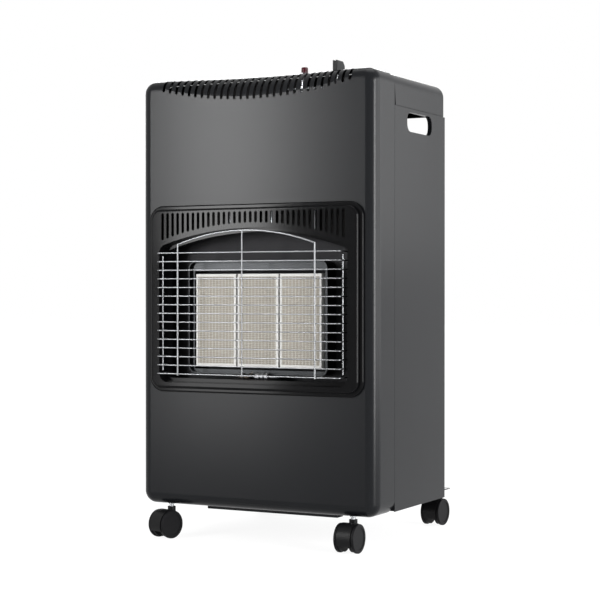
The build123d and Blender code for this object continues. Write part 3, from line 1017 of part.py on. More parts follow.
with BuildPart() as pilot_pipe:
    add(bent_rod([(PILOT_PIPE_DROP_X, PILOT_PIPE_OUTLET_DEPTH, VALVE_BOTTOM),
                  (PILOT_PIPE_DROP_X, PILOT_PIPE_OUTLET_DEPTH, LEAD_JOG),
                  (PILOT_PIPE_DROP_X, LEAD_LANE_DEPTH, LEAD_JOG),
                  (PILOT_PIPE_DROP_X, LEAD_LANE_DEPTH, PILOT_HEIGHT),
                  (PILOT_PIPE_X, LEAD_LANE_DEPTH, PILOT_HEIGHT), (PILOT_PIPE_X, PILOT_DEPTH, PILOT_HEIGHT),
                  (PILOT_BURNER_RIGHT, PILOT_DEPTH, PILOT_HEIGHT)], LEAD_BEND, PILOT_PIPE))
pilot_pipe.part.label = "pilot_pipe"
export_step(pilot_pipe.part, "parts/pilot_pipe.step")

lead_start = THERMOCOUPLE_X + LEAD_BEND
with BuildPart() as thermocouple:
    rod((lead_start, THERMOCOUPLE_TIP), PILOT_DEPTH, PILOT_HEIGHT, THERMOCOUPLE)
    add(bent_rod([(lead_start, PILOT_DEPTH, PILOT_HEIGHT), (THERMOCOUPLE_X, PILOT_DEPTH, PILOT_HEIGHT),
                  (THERMOCOUPLE_X, LEAD_LANE_DEPTH, PILOT_HEIGHT),
                  (THERMOCOUPLE_X, LEAD_LANE_DEPTH, THERMOCOUPLE_LANE_HEIGHT),
                  (THERMOCOUPLE_DROP_X, LEAD_LANE_DEPTH, THERMOCOUPLE_LANE_HEIGHT),
                  (THERMOCOUPLE_DROP_X, LEAD_LANE_DEPTH, THERMOCOUPLE_PORT_HEIGHT),
                  (THERMOCOUPLE_DROP_X, THERMOCOUPLE_PORT_DEPTH, THERMOCOUPLE_PORT_HEIGHT),
                  (VALVE_X - VALVE_BODY[0] / 2, THERMOCOUPLE_PORT_DEPTH, THERMOCOUPLE_PORT_HEIGHT)],
                 LEAD_BEND - 0.2, THERMOCOUPLE_LEAD))
thermocouple.part.label = "thermocouple"
export_step(thermocouple.part, "parts/thermocouple.step")

ceramic_start = ELECTRODE_X + LEAD_BEND
with BuildPart() as ignition_electrode:
    rod((ceramic_start, ELECTRODE_CERAMIC_END), ELECTRODE_DEPTH, PILOT_HEIGHT, ELECTRODE_CERAMIC)
    add(bent_rod([(ELECTRODE_CERAMIC_END - ELECTRODE_WIRE, ELECTRODE_DEPTH, PILOT_HEIGHT),
                  (ELECTRODE_ELBOW, ELECTRODE_DEPTH, PILOT_HEIGHT),
                  (ELECTRODE_TIP, ELECTRODE_DEPTH, PILOT_HEIGHT + ELECTRODE_RISE)],
                 ELECTRODE_WIRE, ELECTRODE_WIRE))
ignition_electrode.part.label = "ignition_electrode"
export_step(ignition_electrode.part, "parts/ignition_electrode.step")

with BuildPart() as ignition_lead:
    add(bent_rod([(ceramic_start, ELECTRODE_DEPTH, PILOT_HEIGHT),
                  (ELECTRODE_X, ELECTRODE_DEPTH, PILOT_HEIGHT),
                  (ELECTRODE_X, LEAD_LANE_DEPTH, PILOT_HEIGHT),
                  (ELECTRODE_X, LEAD_LANE_DEPTH, LEAD_JOG),
                  (IGNITER_X, LEAD_LANE_DEPTH, LEAD_JOG),
                  (IGNITER_X, CONTROL_DEPTH, LEAD_JOG),
                  (IGNITER_X, CONTROL_DEPTH, IGNITER_BOTTOM)], LEAD_BEND - 0.2, IGNITION_LEAD))
ignition_lead.part.label = "ignition_lead"
export_step(ignition_lead.part, "parts/ignition_lead.step")

# ---- casters: hooded twin wheels on a swivelling stem ----
HOOD_INNER = TREAD_RADIUS + HOOD_CLEARANCE
HOOD_OUTER = HOOD_INNER + HOOD_THICKNESS
wheel_inner = HOOD_WEB / 2 + WHEEL_GAP
wheel_step = HOOD_WIDTH / 2 + WHEEL_GAP
for corner, side, stem_depth, heading in CASTER_HEADINGS:
    axle_dir = Vector(cos(radians(heading)), sin(radians(heading)), 0)
    rear_dir = Vector(-sin(radians(heading)), cos(radians(heading)), 0)
    stem_foot = Vector(side * STEM_X, FRONT_Y + stem_depth, 0)
    wheel_centre = stem_foot - rear_dir * CASTER_TRAIL + Vector(0, 0, WHEEL_RADIUS)
    axle_plane = Plane(origin=wheel_centre, x_dir=rear_dir, z_dir=axle_dir)

    with BuildPart() as caster_stem:
        post(side * STEM_X, stem_depth, (HOOD_BOSS_TOP - STEM_SINK, STEM_TOP), STEM)
        post(side * STEM_X, stem_depth, (SHOULDER_TOP - STEM_SHOULDER_HEIGHT, SHOULDER_TOP), STEM_SHOULDER)
    caster_stem.part.label = f"caster_{corner}_stem"
    export_step(caster_stem.part, f"parts/caster_{corner}_stem.step")

    with BuildPart() as caster_hood:
        with BuildSketch(axle_plane.offset(-HOOD_WIDTH / 2)):
            Circle(HOOD_OUTER)
        extrude(amount=HOOD_WIDTH)
        post(side * STEM_X, stem_depth, (WHEEL_RADIUS, HOOD_BOSS_TOP), HOOD_BOSS)
        for end in (-1, 1):
            with BuildSketch(axle_plane.offset(end * HOOD_WEB / 2)):
                Circle(HOOD_INNER)
            extrude(amount=end * CASTER_WIDTH, mode=Mode.SUBTRACT)
        with BuildSketch(axle_plane.offset(-HOOD_WIDTH)):
            Circle(AXLE / 2 + RUNNING_CLEARANCE)
        extrude(amount=2 * HOOD_WIDTH, mode=Mode.SUBTRACT)
        with Locations((wheel_centre.X, wheel_centre.Y, 0)):
            Box(4 * WHEEL_RADIUS, 4 * WHEEL_RADIUS, 2 * HOOD_SKIRT_HEIGHT, mode=Mode.SUBTRACT)
        post(side * STEM_X, stem_depth, (HOOD_BOSS_TOP - STEM_SINK, HOOD_BOSS_TOP + 1),
             STEM + 2 * RUNNING_CLEARANCE, mode=Mode.SUBTRACT)
    caster_hood.part.label = f"caster_{corner}_hood"
    export_step(caster_hood.part, f"parts/caster_{corner}_hood.step")

    with BuildPart() as caster_axle:
        with BuildSketch(axle_plane.offset(AXLE_CAP - CASTER_WIDTH / 2)):
            Circle(AXLE / 2)
        extrude(amount=CASTER_WIDTH - 2 * AXLE_CAP)
    caster_axle.part.label = f"caster_{corner}_axle"
    export_step(caster_axle.part, f"parts/caster_{corner}_axle.step")

    for wheel_name, end in (("left", -1), ("right", 1)):
        with BuildPart() as caster_wheel:
            with BuildSketch(axle_plane.offset(end * wheel_inner)):
                Circle(TREAD_RADIUS)
            extrude(amount=end * (wheel_step - wheel_inner))
            with BuildSketch(axle_plane.offset(end * wheel_step)):
                Circle(WHEEL_RADIUS)
            extrude(amount=end * (CASTER_WIDTH / 2 - wheel_step))
            rims = caster_wheel.edges().filter_by(GeomType.CIRCLE).sort_by(SortBy.RADIUS)[-2:]
            fillet(rims, WHEEL_ROUND)
            with BuildSketch(axle_plane.offset(end * (CASTER_WIDTH / 2 - WHEEL_DISH))):
                Circle(WHEEL_DISH_RADIUS)
            extrude(amount=end * 2 * WHEEL_DISH, mode=Mode.SUBTRACT)
            with BuildSketch(axle_plane.offset(0)):
                Circle(AXLE / 2 + RUNNING_CLEARANCE)
            extrude(amount=end * (CASTER_WIDTH / 2 - AXLE_CAP + RUNNING_CLEARANCE), mode=Mode.SUBTRACT)
        caster_wheel.part.label = f"caster_{corner}_wheel_{wheel_name}"
        export_step(caster_wheel.part, f"parts/caster_{corner}_wheel_{wheel_name}.step")
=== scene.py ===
# %% [markdown]
# A portable gas cabinet heater, dressed for its photograph.
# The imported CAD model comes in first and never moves: it is the frame that all else is fitted to. Most
# of its pieces already have their real shape and only need a finish. What is too small for CAD is
# modelled here. Everything is in metres, +Z is up and the front panel faces -Y.

# %% Load the frame
import bpy
import bmesh
from math import atan2, cos, pi, radians, sin
from mathutils import Matrix, Vector


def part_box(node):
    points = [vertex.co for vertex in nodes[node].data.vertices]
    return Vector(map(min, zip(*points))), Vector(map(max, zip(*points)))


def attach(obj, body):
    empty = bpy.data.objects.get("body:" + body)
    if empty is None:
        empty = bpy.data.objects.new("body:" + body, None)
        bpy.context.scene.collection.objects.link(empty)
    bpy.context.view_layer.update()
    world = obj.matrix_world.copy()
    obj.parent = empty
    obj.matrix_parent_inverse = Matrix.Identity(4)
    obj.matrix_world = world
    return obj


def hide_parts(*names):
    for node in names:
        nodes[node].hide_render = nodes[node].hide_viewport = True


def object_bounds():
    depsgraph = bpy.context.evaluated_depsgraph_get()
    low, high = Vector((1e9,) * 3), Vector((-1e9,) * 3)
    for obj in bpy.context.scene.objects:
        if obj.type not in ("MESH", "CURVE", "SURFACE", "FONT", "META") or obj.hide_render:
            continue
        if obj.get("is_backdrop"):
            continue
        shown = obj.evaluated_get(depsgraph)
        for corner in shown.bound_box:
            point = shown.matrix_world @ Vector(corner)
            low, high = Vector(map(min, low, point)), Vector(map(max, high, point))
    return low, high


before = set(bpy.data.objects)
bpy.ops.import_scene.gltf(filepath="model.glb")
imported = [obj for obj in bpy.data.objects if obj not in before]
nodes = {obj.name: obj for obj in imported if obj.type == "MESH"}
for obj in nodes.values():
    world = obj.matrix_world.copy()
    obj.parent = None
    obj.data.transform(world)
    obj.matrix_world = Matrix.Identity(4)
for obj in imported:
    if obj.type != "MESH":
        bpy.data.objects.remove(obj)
bpy.context.scene.view_settings.view_transform = "Standard"
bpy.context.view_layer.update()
bpy.ops.object.select_all(action="DESELECT")

# %% [markdown]
# The photograph was taken from the right of the heater, at about half its height.
# A camera can be moved by eye until the picture fits. Here its lens and place were worked out
# beforehand from straight edges in the photograph, so every edge is drawn within a few pixels of the
# photographed one.

# %% Camera
turn, tilt = radians(27.655), radians(-0.343)
distance = 2.4739
target = Vector((0.0813, -0.1684, 0.3849))  # in the plane of the front panel, at the middle of the picture
focal_pixels, picture_pixels, sensor_mm = 1604.3, 600, 36.0
forward = Vector((-sin(turn) * cos(tilt), cos(turn) * cos(tilt), sin(tilt)))
bpy.ops.object.camera_add(location=target - distance * forward, rotation=(pi / 2 + tilt, 0, turn))
camera = bpy.context.object
camera.name = "photo_camera"
camera.data.sensor_width = sensor_mm
camera.data.lens = focal_pixels / picture_pixels * sensor_mm
camera.data.clip_end = 60.0  # metres, past the far edge of the floor
bpy.context.scene.camera = camera
print("lens", round(camera.data.lens, 1), "mm, camera at", [round(v, 3) for v in camera.location])

# %% [markdown]
# Every finish is a small tree of shader nodes, and four helpers keep each one short.
# The nodes could be set up by hand in the shader editor. In code, one call adds a node, sets its
# options and fills its sockets, by a value or by a link from another node, so a finish reads from top
# to bottom as a list. Colours are sRGB hex, as a colour picker shows them, and one helper turns them
# to the linear light of shaders.

# %% Colour, node and finish helpers
def srgb(code):
    """The linear red, green and blue of a colour such as #8090a0, and full cover."""
    channels = [int(code[i:i + 2], 16) / 255 for i in (1, 3, 5)]
    return [c / 12.92 if c <= 0.04045 else ((c + 0.055) / 1.055) ** 2.4 for c in channels] + [1.0]


def fill(owner, node, inputs):
    """Fills sockets of a node in a material or world: another node's output is linked, a value is set."""
    for socket, source in inputs.items():
        if isinstance(source, bpy.types.NodeSocket):
            owner.node_tree.links.new(source, node.inputs[socket])
        else:
            node.inputs[socket].default_value = source


def add_node(owner, kind, inputs=None, **options):
    """Adds a shader node, with its options set and its sockets filled."""
    node = owner.node_tree.nodes.new(kind)
    for name, value in options.items():
        setattr(node, name, value)
    fill(owner, node, inputs or {})
    return node


def start_finish(name, colour, roughness, metallic=0.0, mirror=0.5):
    """A new material, its shader, and the object's own coordinates in metres. mirror is how strongly a
    surface that isn't metal mirrors what is round it: 0.5 is clear plastic, and a grain takes it down."""
    material = bpy.data.materials.new(name)
    material.use_nodes = True
    shader = material.node_tree.nodes["Principled BSDF"]
    fill(material, shader, {"Base Color": srgb(colour), "Roughness": roughness, "Metallic": metallic,
                            "Specular IOR Level": mirror})
    return material, shader, add_node(material, "ShaderNodeTexCoord").outputs["Object"]


MIX_A, MIX_B, MIXED = 6, 7, 2  # the colour sockets of a Mix node, which also has sockets for numbers
print("the grey #bcbcbc has", round(srgb("#bcbcbc")[0], 2), "of the light of white")

# %% [markdown]
# The photograph is a cut-out on white, with hardly a shadow under the wheels.
# More light would turn a floor white, but it would burn out the paint too. So the floor is matt white
# card that also glows, but only for the camera and in mirror images, and it still holds the shadow of
# the heater. A metre and a half away the glow takes over fully, so no horizon line shows between the
# floor and the white behind it.

# %% Floor
def background_rays(owner):
    """1 for what the camera sees, straight, mirrored or through glass, and 0 for light on the heater."""
    path = add_node(owner, "ShaderNodeLightPath").outputs
    seen = add_node(owner, "ShaderNodeMath", {0: path["Is Camera Ray"], 1: path["Is Glossy Ray"]},
                    operation="MAXIMUM")
    seen = add_node(owner, "ShaderNodeMath", {0: seen.outputs[0], 1: path["Is Transmission Ray"]},
                    operation="MAXIMUM")
    return seen.outputs[0]


floor_size = 30.0
glow_start, glow_full = 0.45, 1.5  # metres from the middle of the floor
glow_near, glow_far = 0.85, 1.0  # the glow's share of the surface within and past those
bpy.ops.mesh.primitive_plane_add(size=floor_size, location=(0, 0, 0))
floor = bpy.context.object
floor.name = "studio_floor"
card, shader, place = start_finish("matt_white_floor", "#f4f4f4", 0.9)
away = add_node(card, "ShaderNodeVectorMath", {0: place}, operation="LENGTH")
share = add_node(card, "ShaderNodeMapRange",
                 {"Value": away.outputs["Value"], "From Min": glow_start, "From Max": glow_full,
                  "To Min": glow_near, "To Max": glow_far}, interpolation_type="SMOOTHSTEP")
glowing = add_node(card, "ShaderNodeMath", {0: background_rays(card), 1: share.outputs["Result"]},
                   operation="MULTIPLY")
glow = add_node(card, "ShaderNodeEmission", {"Color": srgb("#ffffff"), "Strength": 1.07})
blend = add_node(card, "ShaderNodeMixShader",
                 {0: glowing.outputs[0], 1: shader.outputs[0], 2: glow.outputs[0]})
fill(card, card.node_tree.nodes["Material Output"], {"Surface": blend.outputs[0]})
floor.data.materials.append(card)
floor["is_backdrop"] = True
print("floor", [round(v) for v in floor.dimensions[:2]], "m")

# %% [markdown]
# The world behind the floor is white wherever the camera or a mirror sees it.
# As light on the heater, that white would wash out the dark paint. So the world lights with a cool
# grey at a third of the strength, which only lifts the shadows.

# %% World
world = bpy.data.worlds.new("studio_world")
bpy.context.scene.world = world
world.use_nodes = True
grey = world.node_tree.nodes["Background"]
fill(world, grey, {"Color": srgb("#e8eaee"), "Strength": 0.35})
white = add_node(world, "ShaderNodeBackground", {"Color": srgb("#ffffff")})
join = add_node(world, "ShaderNodeMixShader",
                {0: background_rays(world), 1: grey.outputs[0], 2: white.outputs[0]})
fill(world, world.node_tree.nodes["World Output"], {"Surface": join.outputs[0]})
print("world lights at", round(grey.inputs["Strength"].default_value, 2))

# %% [markdown]
# Dark satin paint shows little colour of its own. What gives it form is what it mirrors, so soft boxes
# light the heater, and each stands where one face of the cabinet mirrors it towards the camera.
# - The key is a pair at the left front, a strong one over a weak one. It gives the front panel a broad
#   upright sheen, strongest at the upper left, that fades to the right and towards the foot.
# - A tall strip at the right draws the bright line down the rounded corner.
# - Two wide panels beside it carry that light round the corner, and a weak one behind the right
#   shoulder gives the side panel its sheen, which fades towards the foot as well.
# - A wide one overhead lights the lid, and one behind the left shoulder lights the back, which the
#   photograph doesn't show.

# %% Lights
def soft_box(name, spot, aim, width, height, power):
    """An area lamp that stands at spot and looks at aim, with its size in metres and its power in watts."""
    bpy.ops.object.light_add(type="AREA", location=spot)
    lamp = bpy.context.object
    lamp.name = name
    lamp.data.shape = "RECTANGLE"
    lamp.data.size = width
    lamp.data.size_y = height
    lamp.data.energy = power
    lamp.rotation_euler = (Vector(aim) - Vector(spot)).to_track_quat("-Z", "Y").to_euler()
    print(name, power, "W")


soft_box("key_upper", (-0.86, -1.55, 0.87), (-0.05, -0.17, 0.6), width=0.26, height=0.8, power=22)
soft_box("key_lower", (-0.86, -1.55, 0.23), (-0.05, -0.17, 0.2), width=0.26, height=0.4, power=4.5)
soft_box("corner_strip", (2.55, -0.95, 0.5), (0.2, -0.16, 0.4), width=0.4, height=1.4, power=84)
soft_box("right_panel", (2.68, 0.19, 0.75), (0.2, -0.1, 0.4), width=2.0, height=1.4, power=70)
soft_box("right_rear", (2.04, 1.56, 0.75), (0.2, -0.1, 0.4), width=1.15, height=1.4, power=17)
soft_box("side_rear", (1.45, 2.1, 0.95), (0.21, -0.1, 0.55), width=0.5, height=0.9, power=2.8)
soft_box("top", (0.2, 0.2, 3.2), (0, 0, 0), width=2.0, height=2.0, power=40)
soft_box("back_fill", (-1.6, 2.6, 1.5), (0, 0.2, 0.4), width=1.6, height=1.6, power=60)

# %% [markdown]
# Most surfaces of the heater are one material with a fine even grain: sprayed, moulded, cast or drawn.
# A picture of the grain could be wrapped round each piece, but it would stretch at the bends. A noise
# in the object's own coordinates keeps its real size everywhere, so one recipe serves them all: a wide
# cloud drifts between two tones, and a fine noise varies the gloss and raises a bump.
# A pixel of the picture is 1.5 mm wide at the heater, so a finer grain only shows from nearer.

# %% A finish with grain
def per_mm(size):
    """The scale that makes one cell of a texture as long as size, in millimetres."""
    return 1000.0 / size


def drift(material, place, patch, detail, dark, light):
    """A colour that drifts between two tones, in patches as wide as patch, in millimetres."""
    cloud = add_node(material, "ShaderNodeTexNoise",
                     {"Vector": place, "Scale": per_mm(patch), "Detail": detail})
    tone = add_node(material, "ShaderNodeMix",
                    {0: cloud.outputs["Fac"], MIX_A: srgb(dark), MIX_B: srgb(light)}, data_type="RGBA")
    return tone.outputs[MIXED]


def grained(name, colour, light, dark, roughness, grain, depth, spread=0.05, metallic=0.0, mirror=0.5):
    """A material with a grain as wide as grain and as deep as depth, in millimetres. Its colour drifts
    between light and dark in patches 90 mm wide, and its roughness moves by spread either way. A program
    that can't draw the drift shows colour instead."""
    material, shader, place = start_finish(name, colour, roughness, metallic, mirror)
    tone = drift(material, place, 90, 3.0, dark, light)
    fine = add_node(material, "ShaderNodeTexNoise",
                    {"Vector": place, "Scale": per_mm(grain), "Detail": 4.0})
    gloss = add_node(material, "ShaderNodeMapRange",
                     {"Value": fine.outputs["Fac"],
                      "To Min": roughness - spread, "To Max": roughness + spread})
    bump = add_node(material, "ShaderNodeBump",
                    {"Height": fine.outputs["Fac"], "Distance": depth / 1000.0, "Strength": 0.6})
    fill(material, shader, {"Base Color": tone, "Roughness": gloss.outputs["Result"],
                            "Normal": bump.outputs["Normal"]})
    return material


def dress(material, *names):
    """Gives a material to CAD nodes, and leaves their meshes alone."""
    for name in names:
        mesh = nodes[name].data
        mesh.materials.clear()
        mesh.materials.append(material)
    print(material.name, "on", ", ".join(names))


print("a 2.5 mm grain has the scale", per_mm(2.5))

# %% [markdown]
# The cabinet is drawn steel sheet with an anthracite powder coat.
# Powder coat is sprayed dry and melted in an oven, which leaves a satin surface with a very slight
# orange peel. The peel is about 1 mm across, too fine for this view, so it is drawn at 2.5 mm. The eye
# gets an even dark grey that is nearly black away from the lights, and soft wide sheens along the
# rounded edges.

# %% Anthracite powder coat
coat = grained("anthracite_powder_coat", "#101113", "#121315", "#0e0f11", roughness=0.26, grain=2.5,
               depth=0.012, spread=0.02, mirror=0.12)
dress(coat, "front_shell", "left_side_panel", "right_side_panel", "top_lid", "rear_cover", "base_tray")

# %% [markdown]
# The window bezel is pressed steel with a black stoving enamel.
# The enamel flows out before it sets, so it is smoother than the powder coat, and blacker. Its beads
# mirror the soft boxes as thin lines, which is how the eye finds its shape. A wide grain stands for
# the slight waves of pressed sheet.

# %% Black stoving enamel
enamel = grained("black_stoving_enamel", "#080809", "#0a0a0b", "#060607", roughness=0.12, grain=3.0,
                 depth=0.003, spread=0.02, mirror=0.07)
dress(enamel, "window_bezel")

# %% [markdown]
# The pan behind the burners and the frame round them are stainless sheet that heat has darkened.
# Rolling leaves a faint grain along the sheet. Fine scratches could be drawn one by one, but a noise
# that is stretched along X looks the same and costs nothing. With other greys, the recipe serves the
# heat shield, darkened as painted shade of the unlit inside, the pale aluminised burners and all the
# bright turned pins and screws. The real grain is a tenth of a millimetre wide, and it is drawn at
# 0.6 mm, and at 0.3 mm on the small turned pieces.

# %% Heat-darkened stainless and its relatives
def rolled_steel(name, colour, dark, roughness, grain=0.6):
    """Bare metal with a grain along X, as wide as grain in millimetres and 0.02 mm deep, and stains 60 mm
    wide. The grain is some 30 times as long as it is wide."""
    steel, shader, place = start_finish(name, colour, roughness, metallic=1.0)
    stretch = add_node(steel, "ShaderNodeMapping", {"Vector": place, "Scale": (0.03, 1.0, 1.0)})
    lines = add_node(steel, "ShaderNodeTexNoise",
                     {"Vector": stretch.outputs[0], "Scale": per_mm(grain), "Detail": 3.0})
    tone = drift(steel, place, 60, 4.0, dark, colour)
    gloss = add_node(steel, "ShaderNodeMapRange",
                     {"Value": lines.outputs["Fac"],
                      "To Min": roughness - 0.05, "To Max": roughness + 0.07})
    bump = add_node(steel, "ShaderNodeBump",
                    {"Height": lines.outputs["Fac"], "Distance": 0.00002, "Strength": 0.4})
    fill(steel, shader, {"Base Color": tone, "Roughness": gloss.outputs["Result"],
                         "Normal": bump.outputs["Normal"]})
    return steel


def on_casters(*parts):
    """The CAD names of those parts on all four casters."""
    return [f"caster_{corner}_{part}" for corner in ("front_left", "front_right", "rear_left", "rear_right")
            for part in parts]


dress(rolled_steel("heat_blued_stainless", "#212122", "#1a1a1b", 0.48), "reflector")
# The heat shield's dark grey is painted shade: it keeps the inside behind the top slots unlit. The pilot
# bracket shares the same steel.
dress(rolled_steel("dark_grey_steel", "#2b2a2a", "#201f1f", 0.6), "heat_shield", "pilot_bracket")
dress(rolled_steel("heat_tinted_stainless", "#2b2c2d", "#232425", 0.28), "burner_frame")
dress(rolled_steel("aluminised_steel", "#9a9b9d", "#85868a", 0.42), "burner_box_left", "burner_box_centre",
      "burner_box_right")
turned_steel = rolled_steel("turned_steel", "#a9aaac", "#989a9d", 0.3, grain=0.3)
dress(turned_steel, "valve_spindle", "panel_screws", "control_nuts", "rear_cover_thumbscrews",
      "pilot_burner", *on_casters("stem", "axle"))

# %% [markdown]
# The small brackets are hot-dip galvanised sheet.
# Zinc freezes in large flat crystals, called spangle, about 8 mm across, and each has its own grey and
# its own gloss. A noise would blur them into each other. A Voronoi pattern has cells with sharp
# borders and one random colour each, so it is the natural choice.

# %% Galvanised sheet
spangle = 8
zinc, shader, place = start_finish("galvanised_sheet", "#9fa2a5", 0.42, metallic=0.85)
crystal = add_node(zinc, "ShaderNodeTexVoronoi", {"Vector": place, "Scale": per_mm(spangle)})
facet = add_node(zinc, "ShaderNodeSeparateColor", {0: crystal.outputs["Color"]})
tone = add_node(zinc, "ShaderNodeMix",
                {0: facet.outputs[0], MIX_A: srgb("#8b8e92"), MIX_B: srgb("#a9acaf")}, data_type="RGBA")
gloss = add_node(zinc, "ShaderNodeMapRange", {"Value": facet.outputs[1], "To Min": 0.34, "To Max": 0.5})
fill(zinc, shader, {"Base Color": tone.outputs[MIXED], "Roughness": gloss.outputs["Result"]})
dress(zinc, "control_bracket", "injector_bar")

# %% [markdown]
# Each burner plaque is a block of cordierite ceramic with thousands of fine holes, where the gas
# burns. The eye gets a matt warm grey with an even mesh of darker dots.
# Holes in the mesh would take millions of faces, so the material draws them as dots of painted shade
# with a shallow bump. A Voronoi pattern without randomness is a perfect grid of dots on the block's X
# and Z. Real holes stand closer than 3 mm, which is as fine as this view can show. A sine along X paints
# the shade of the shallow grooves, 6 mm apart, which are what the eye still sees from two metres away.

# %% Ceramic plaques
hole_pitch, groove_pitch, hole_depth = 3.0, 6.0, 0.6  # millimetres
hole_shade_rim = (0.2, 0.38)  # where the dark of a hole starts to fade and ends, in pitches from its middle
groove_shade_rim = (-0.9, 0.4)  # where the groove's dark starts to fade and ends, on a wave from -1 to 1
# The dark dots and the dark of the grooves are painted shade of holes and grooves that the mesh doesn't
# have. Only the holes also get a bump.
plaque, shader, place = start_finish("cordierite_plaque", "#a39f96", 0.85)
split = add_node(plaque, "ShaderNodeSeparateXYZ", {0: place})
flat = add_node(plaque, "ShaderNodeCombineXYZ", {0: split.outputs[0], 1: split.outputs[2]})
holes = add_node(plaque, "ShaderNodeTexVoronoi", {"Vector": flat.outputs[0], "Scale": per_mm(hole_pitch),
                                                  "Randomness": 0.0}, voronoi_dimensions="2D")
hole_relief_and_shade = add_node(plaque, "ShaderNodeMapRange",
                {"Value": holes.outputs["Distance"], "From Min": hole_shade_rim[0], "From Max": hole_shade_rim[1]})
angle = add_node(plaque, "ShaderNodeMath", {0: split.outputs[0], 1: 2 * pi * per_mm(groove_pitch)},
                 operation="MULTIPLY")
ripple = add_node(plaque, "ShaderNodeMath", {0: angle.outputs[0]}, operation="SINE")
painted_groove_shade = add_node(plaque, "ShaderNodeMapRange",
                  {"Value": ripple.outputs[0], "From Min": groove_shade_rim[0], "From Max": groove_shade_rim[1]},
                  interpolation_type="SMOOTHSTEP")
body = drift(plaque, place, 25, 3.0, "#9f9b93", "#aaa79f")
body_and_groove_shade = add_node(plaque, "ShaderNodeMix", {0: painted_groove_shade.outputs["Result"], MIX_A: srgb("#908a80"), MIX_B: body},
                data_type="RGBA")
tone = add_node(plaque, "ShaderNodeMix",
                {0: hole_relief_and_shade.outputs["Result"], MIX_A: srgb("#7b766c"), MIX_B: body_and_groove_shade.outputs[MIXED]},
                data_type="RGBA")
bump = add_node(plaque, "ShaderNodeBump",
                {"Height": hole_relief_and_shade.outputs["Result"], "Distance": hole_depth / 1000.0, "Strength": 0.7})
fill(plaque, shader, {"Base Color": tone.outputs[MIXED], "Normal": bump.outputs["Normal"]})
dress(plaque, "plaque_left", "plaque_centre", "plaque_right")

# %% [markdown]
# A pressed ceramic-fibre gasket seals each plaque in its burner. It is soft and quite matt, the palest
# thing in the window, so it is nearly all plain colour with a deep felt-like grain.
# The sleeve of the spark electrode is alumina, a white ceramic that the pilot flame has sooted brown.

# %% Fibre gasket and sooted ceramic
fibre = grained("ceramic_fibre_felt", "#c3c2bf", "#c9c8c6", "#bab9b5", roughness=0.94, grain=1.5,
                depth=0.25)
dress(fibre, "plaque_gaskets")
soot = grained("sooted_alumina", "#3d352d", "#4a4036", "#2b2520", roughness=0.35, grain=3.0, depth=0.01)
dress(soot, "ignition_electrode")

# %% [markdown]
# The guard is welded steel wire with a bright nickel plate. Its wires are only 2 mm thick, so most of
# what the eye gets is one white line along each wire. The threaded body of the igniter is chromed, a
# little smoother. Both are metals with a middle grey: paler ones would outshine the photographed ones
# under these lights.

# %% Bright plated wire and chrome
nickel = grained("bright_nickel_wire", "#747577", "#7a7b7d", "#6c6d6f", roughness=0.32, grain=2.0,
                 depth=0.01, spread=0.03, metallic=1.0)
dress(nickel, "wire_guard")
chrome = grained("bright_chrome", "#77787a", "#7e7f81", "#6e6f72", roughness=0.25, grain=4.0, depth=0.004,
                 metallic=1.0)
dress(chrome, "igniter_body")

# %% [markdown]
# The gas fittings are turned brass, a warm yellow with fine tool marks. The valve is a phosphated
# casting, dark and dull, and the thermocouple has darkened to the same tone in the pilot flame. The
# small pipes are drawn aluminium, pale and softly shining, and the spark lead has a dull silicone
# sleeve.
# All of them hide behind the panels and show only through the openings, so the common recipe is
# enough.

# %% Brass, casting, aluminium and silicone
brass = grained("turned_brass", "#b08d4a", "#bd9a55", "#a07f41", roughness=0.32, grain=0.8, depth=0.02,
                metallic=1.0)
dress(brass, "valve_plug", "injectors", "inlet_nozzle")
casting = grained("phosphated_casting", "#39393b", "#404042", "#313133", roughness=0.5, grain=1.5,
                  depth=0.05, metallic=0.6)
dress(casting, "gas_valve", "thermocouple")
tube = grained("drawn_aluminium_tube", "#b9bbbe", "#c2c4c6", "#a9abaf", roughness=0.36, grain=1.2,
               depth=0.02, metallic=1.0)
dress(tube, "feed_pipe_left", "feed_pipe_centre", "feed_pipe_right", "pilot_pipe")
sleeve = grained("silicone_sleeve", "#2a2625", "#302b2a", "#231f1e", roughness=0.6, grain=1.0, depth=0.03)
dress(sleeve, "ignition_lead")

# %% [markdown]
# The knob is moulded in black plastic, in a mould that was lightly sand-blasted, so it has an even
# satin grain. A white line on the front end of its grip points at the dial. The line could be a thin
# solid of its own, but it is paint, so the material draws it: it is white where a point is near the
# middle of the knob's width, in front of its axis and at its very top.

# %% Knob plastic with its white pointer
line_half_width, line_start, line_depth = 0.0007, 0.003, 0.0012  # metres
grip = grained("moulded_knob_plastic", "#1a1b1c", "#1d1e1f", "#171819", roughness=0.42, grain=0.6,
               depth=0.03, mirror=0.1)
shader = grip.node_tree.nodes["Principled BSDF"]
low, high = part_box("control_knob")
knob_x, knob_y = (low.x + high.x) / 2, (low.y + high.y) / 2
where = add_node(grip, "ShaderNodeSeparateXYZ", {0: add_node(grip, "ShaderNodeTexCoord").outputs["Object"]})
aside = add_node(grip, "ShaderNodeMath", {0: where.outputs[0], 1: knob_x}, operation="SUBTRACT")
aside = add_node(grip, "ShaderNodeMath", {0: aside.outputs[0]}, operation="ABSOLUTE")
narrow = add_node(grip, "ShaderNodeMath", {0: aside.outputs[0], 1: line_half_width}, operation="LESS_THAN")
front = add_node(grip, "ShaderNodeMath", {0: where.outputs[1], 1: knob_y - line_start},
                 operation="LESS_THAN")
above = add_node(grip, "ShaderNodeMath", {0: where.outputs[2], 1: high.z - line_depth},
                 operation="GREATER_THAN")
line = add_node(grip, "ShaderNodeMath", {0: narrow.outputs[0], 1: front.outputs[0]}, operation="MULTIPLY")
line = add_node(grip, "ShaderNodeMath", {0: line.outputs[0], 1: above.outputs[0]}, operation="MULTIPLY")
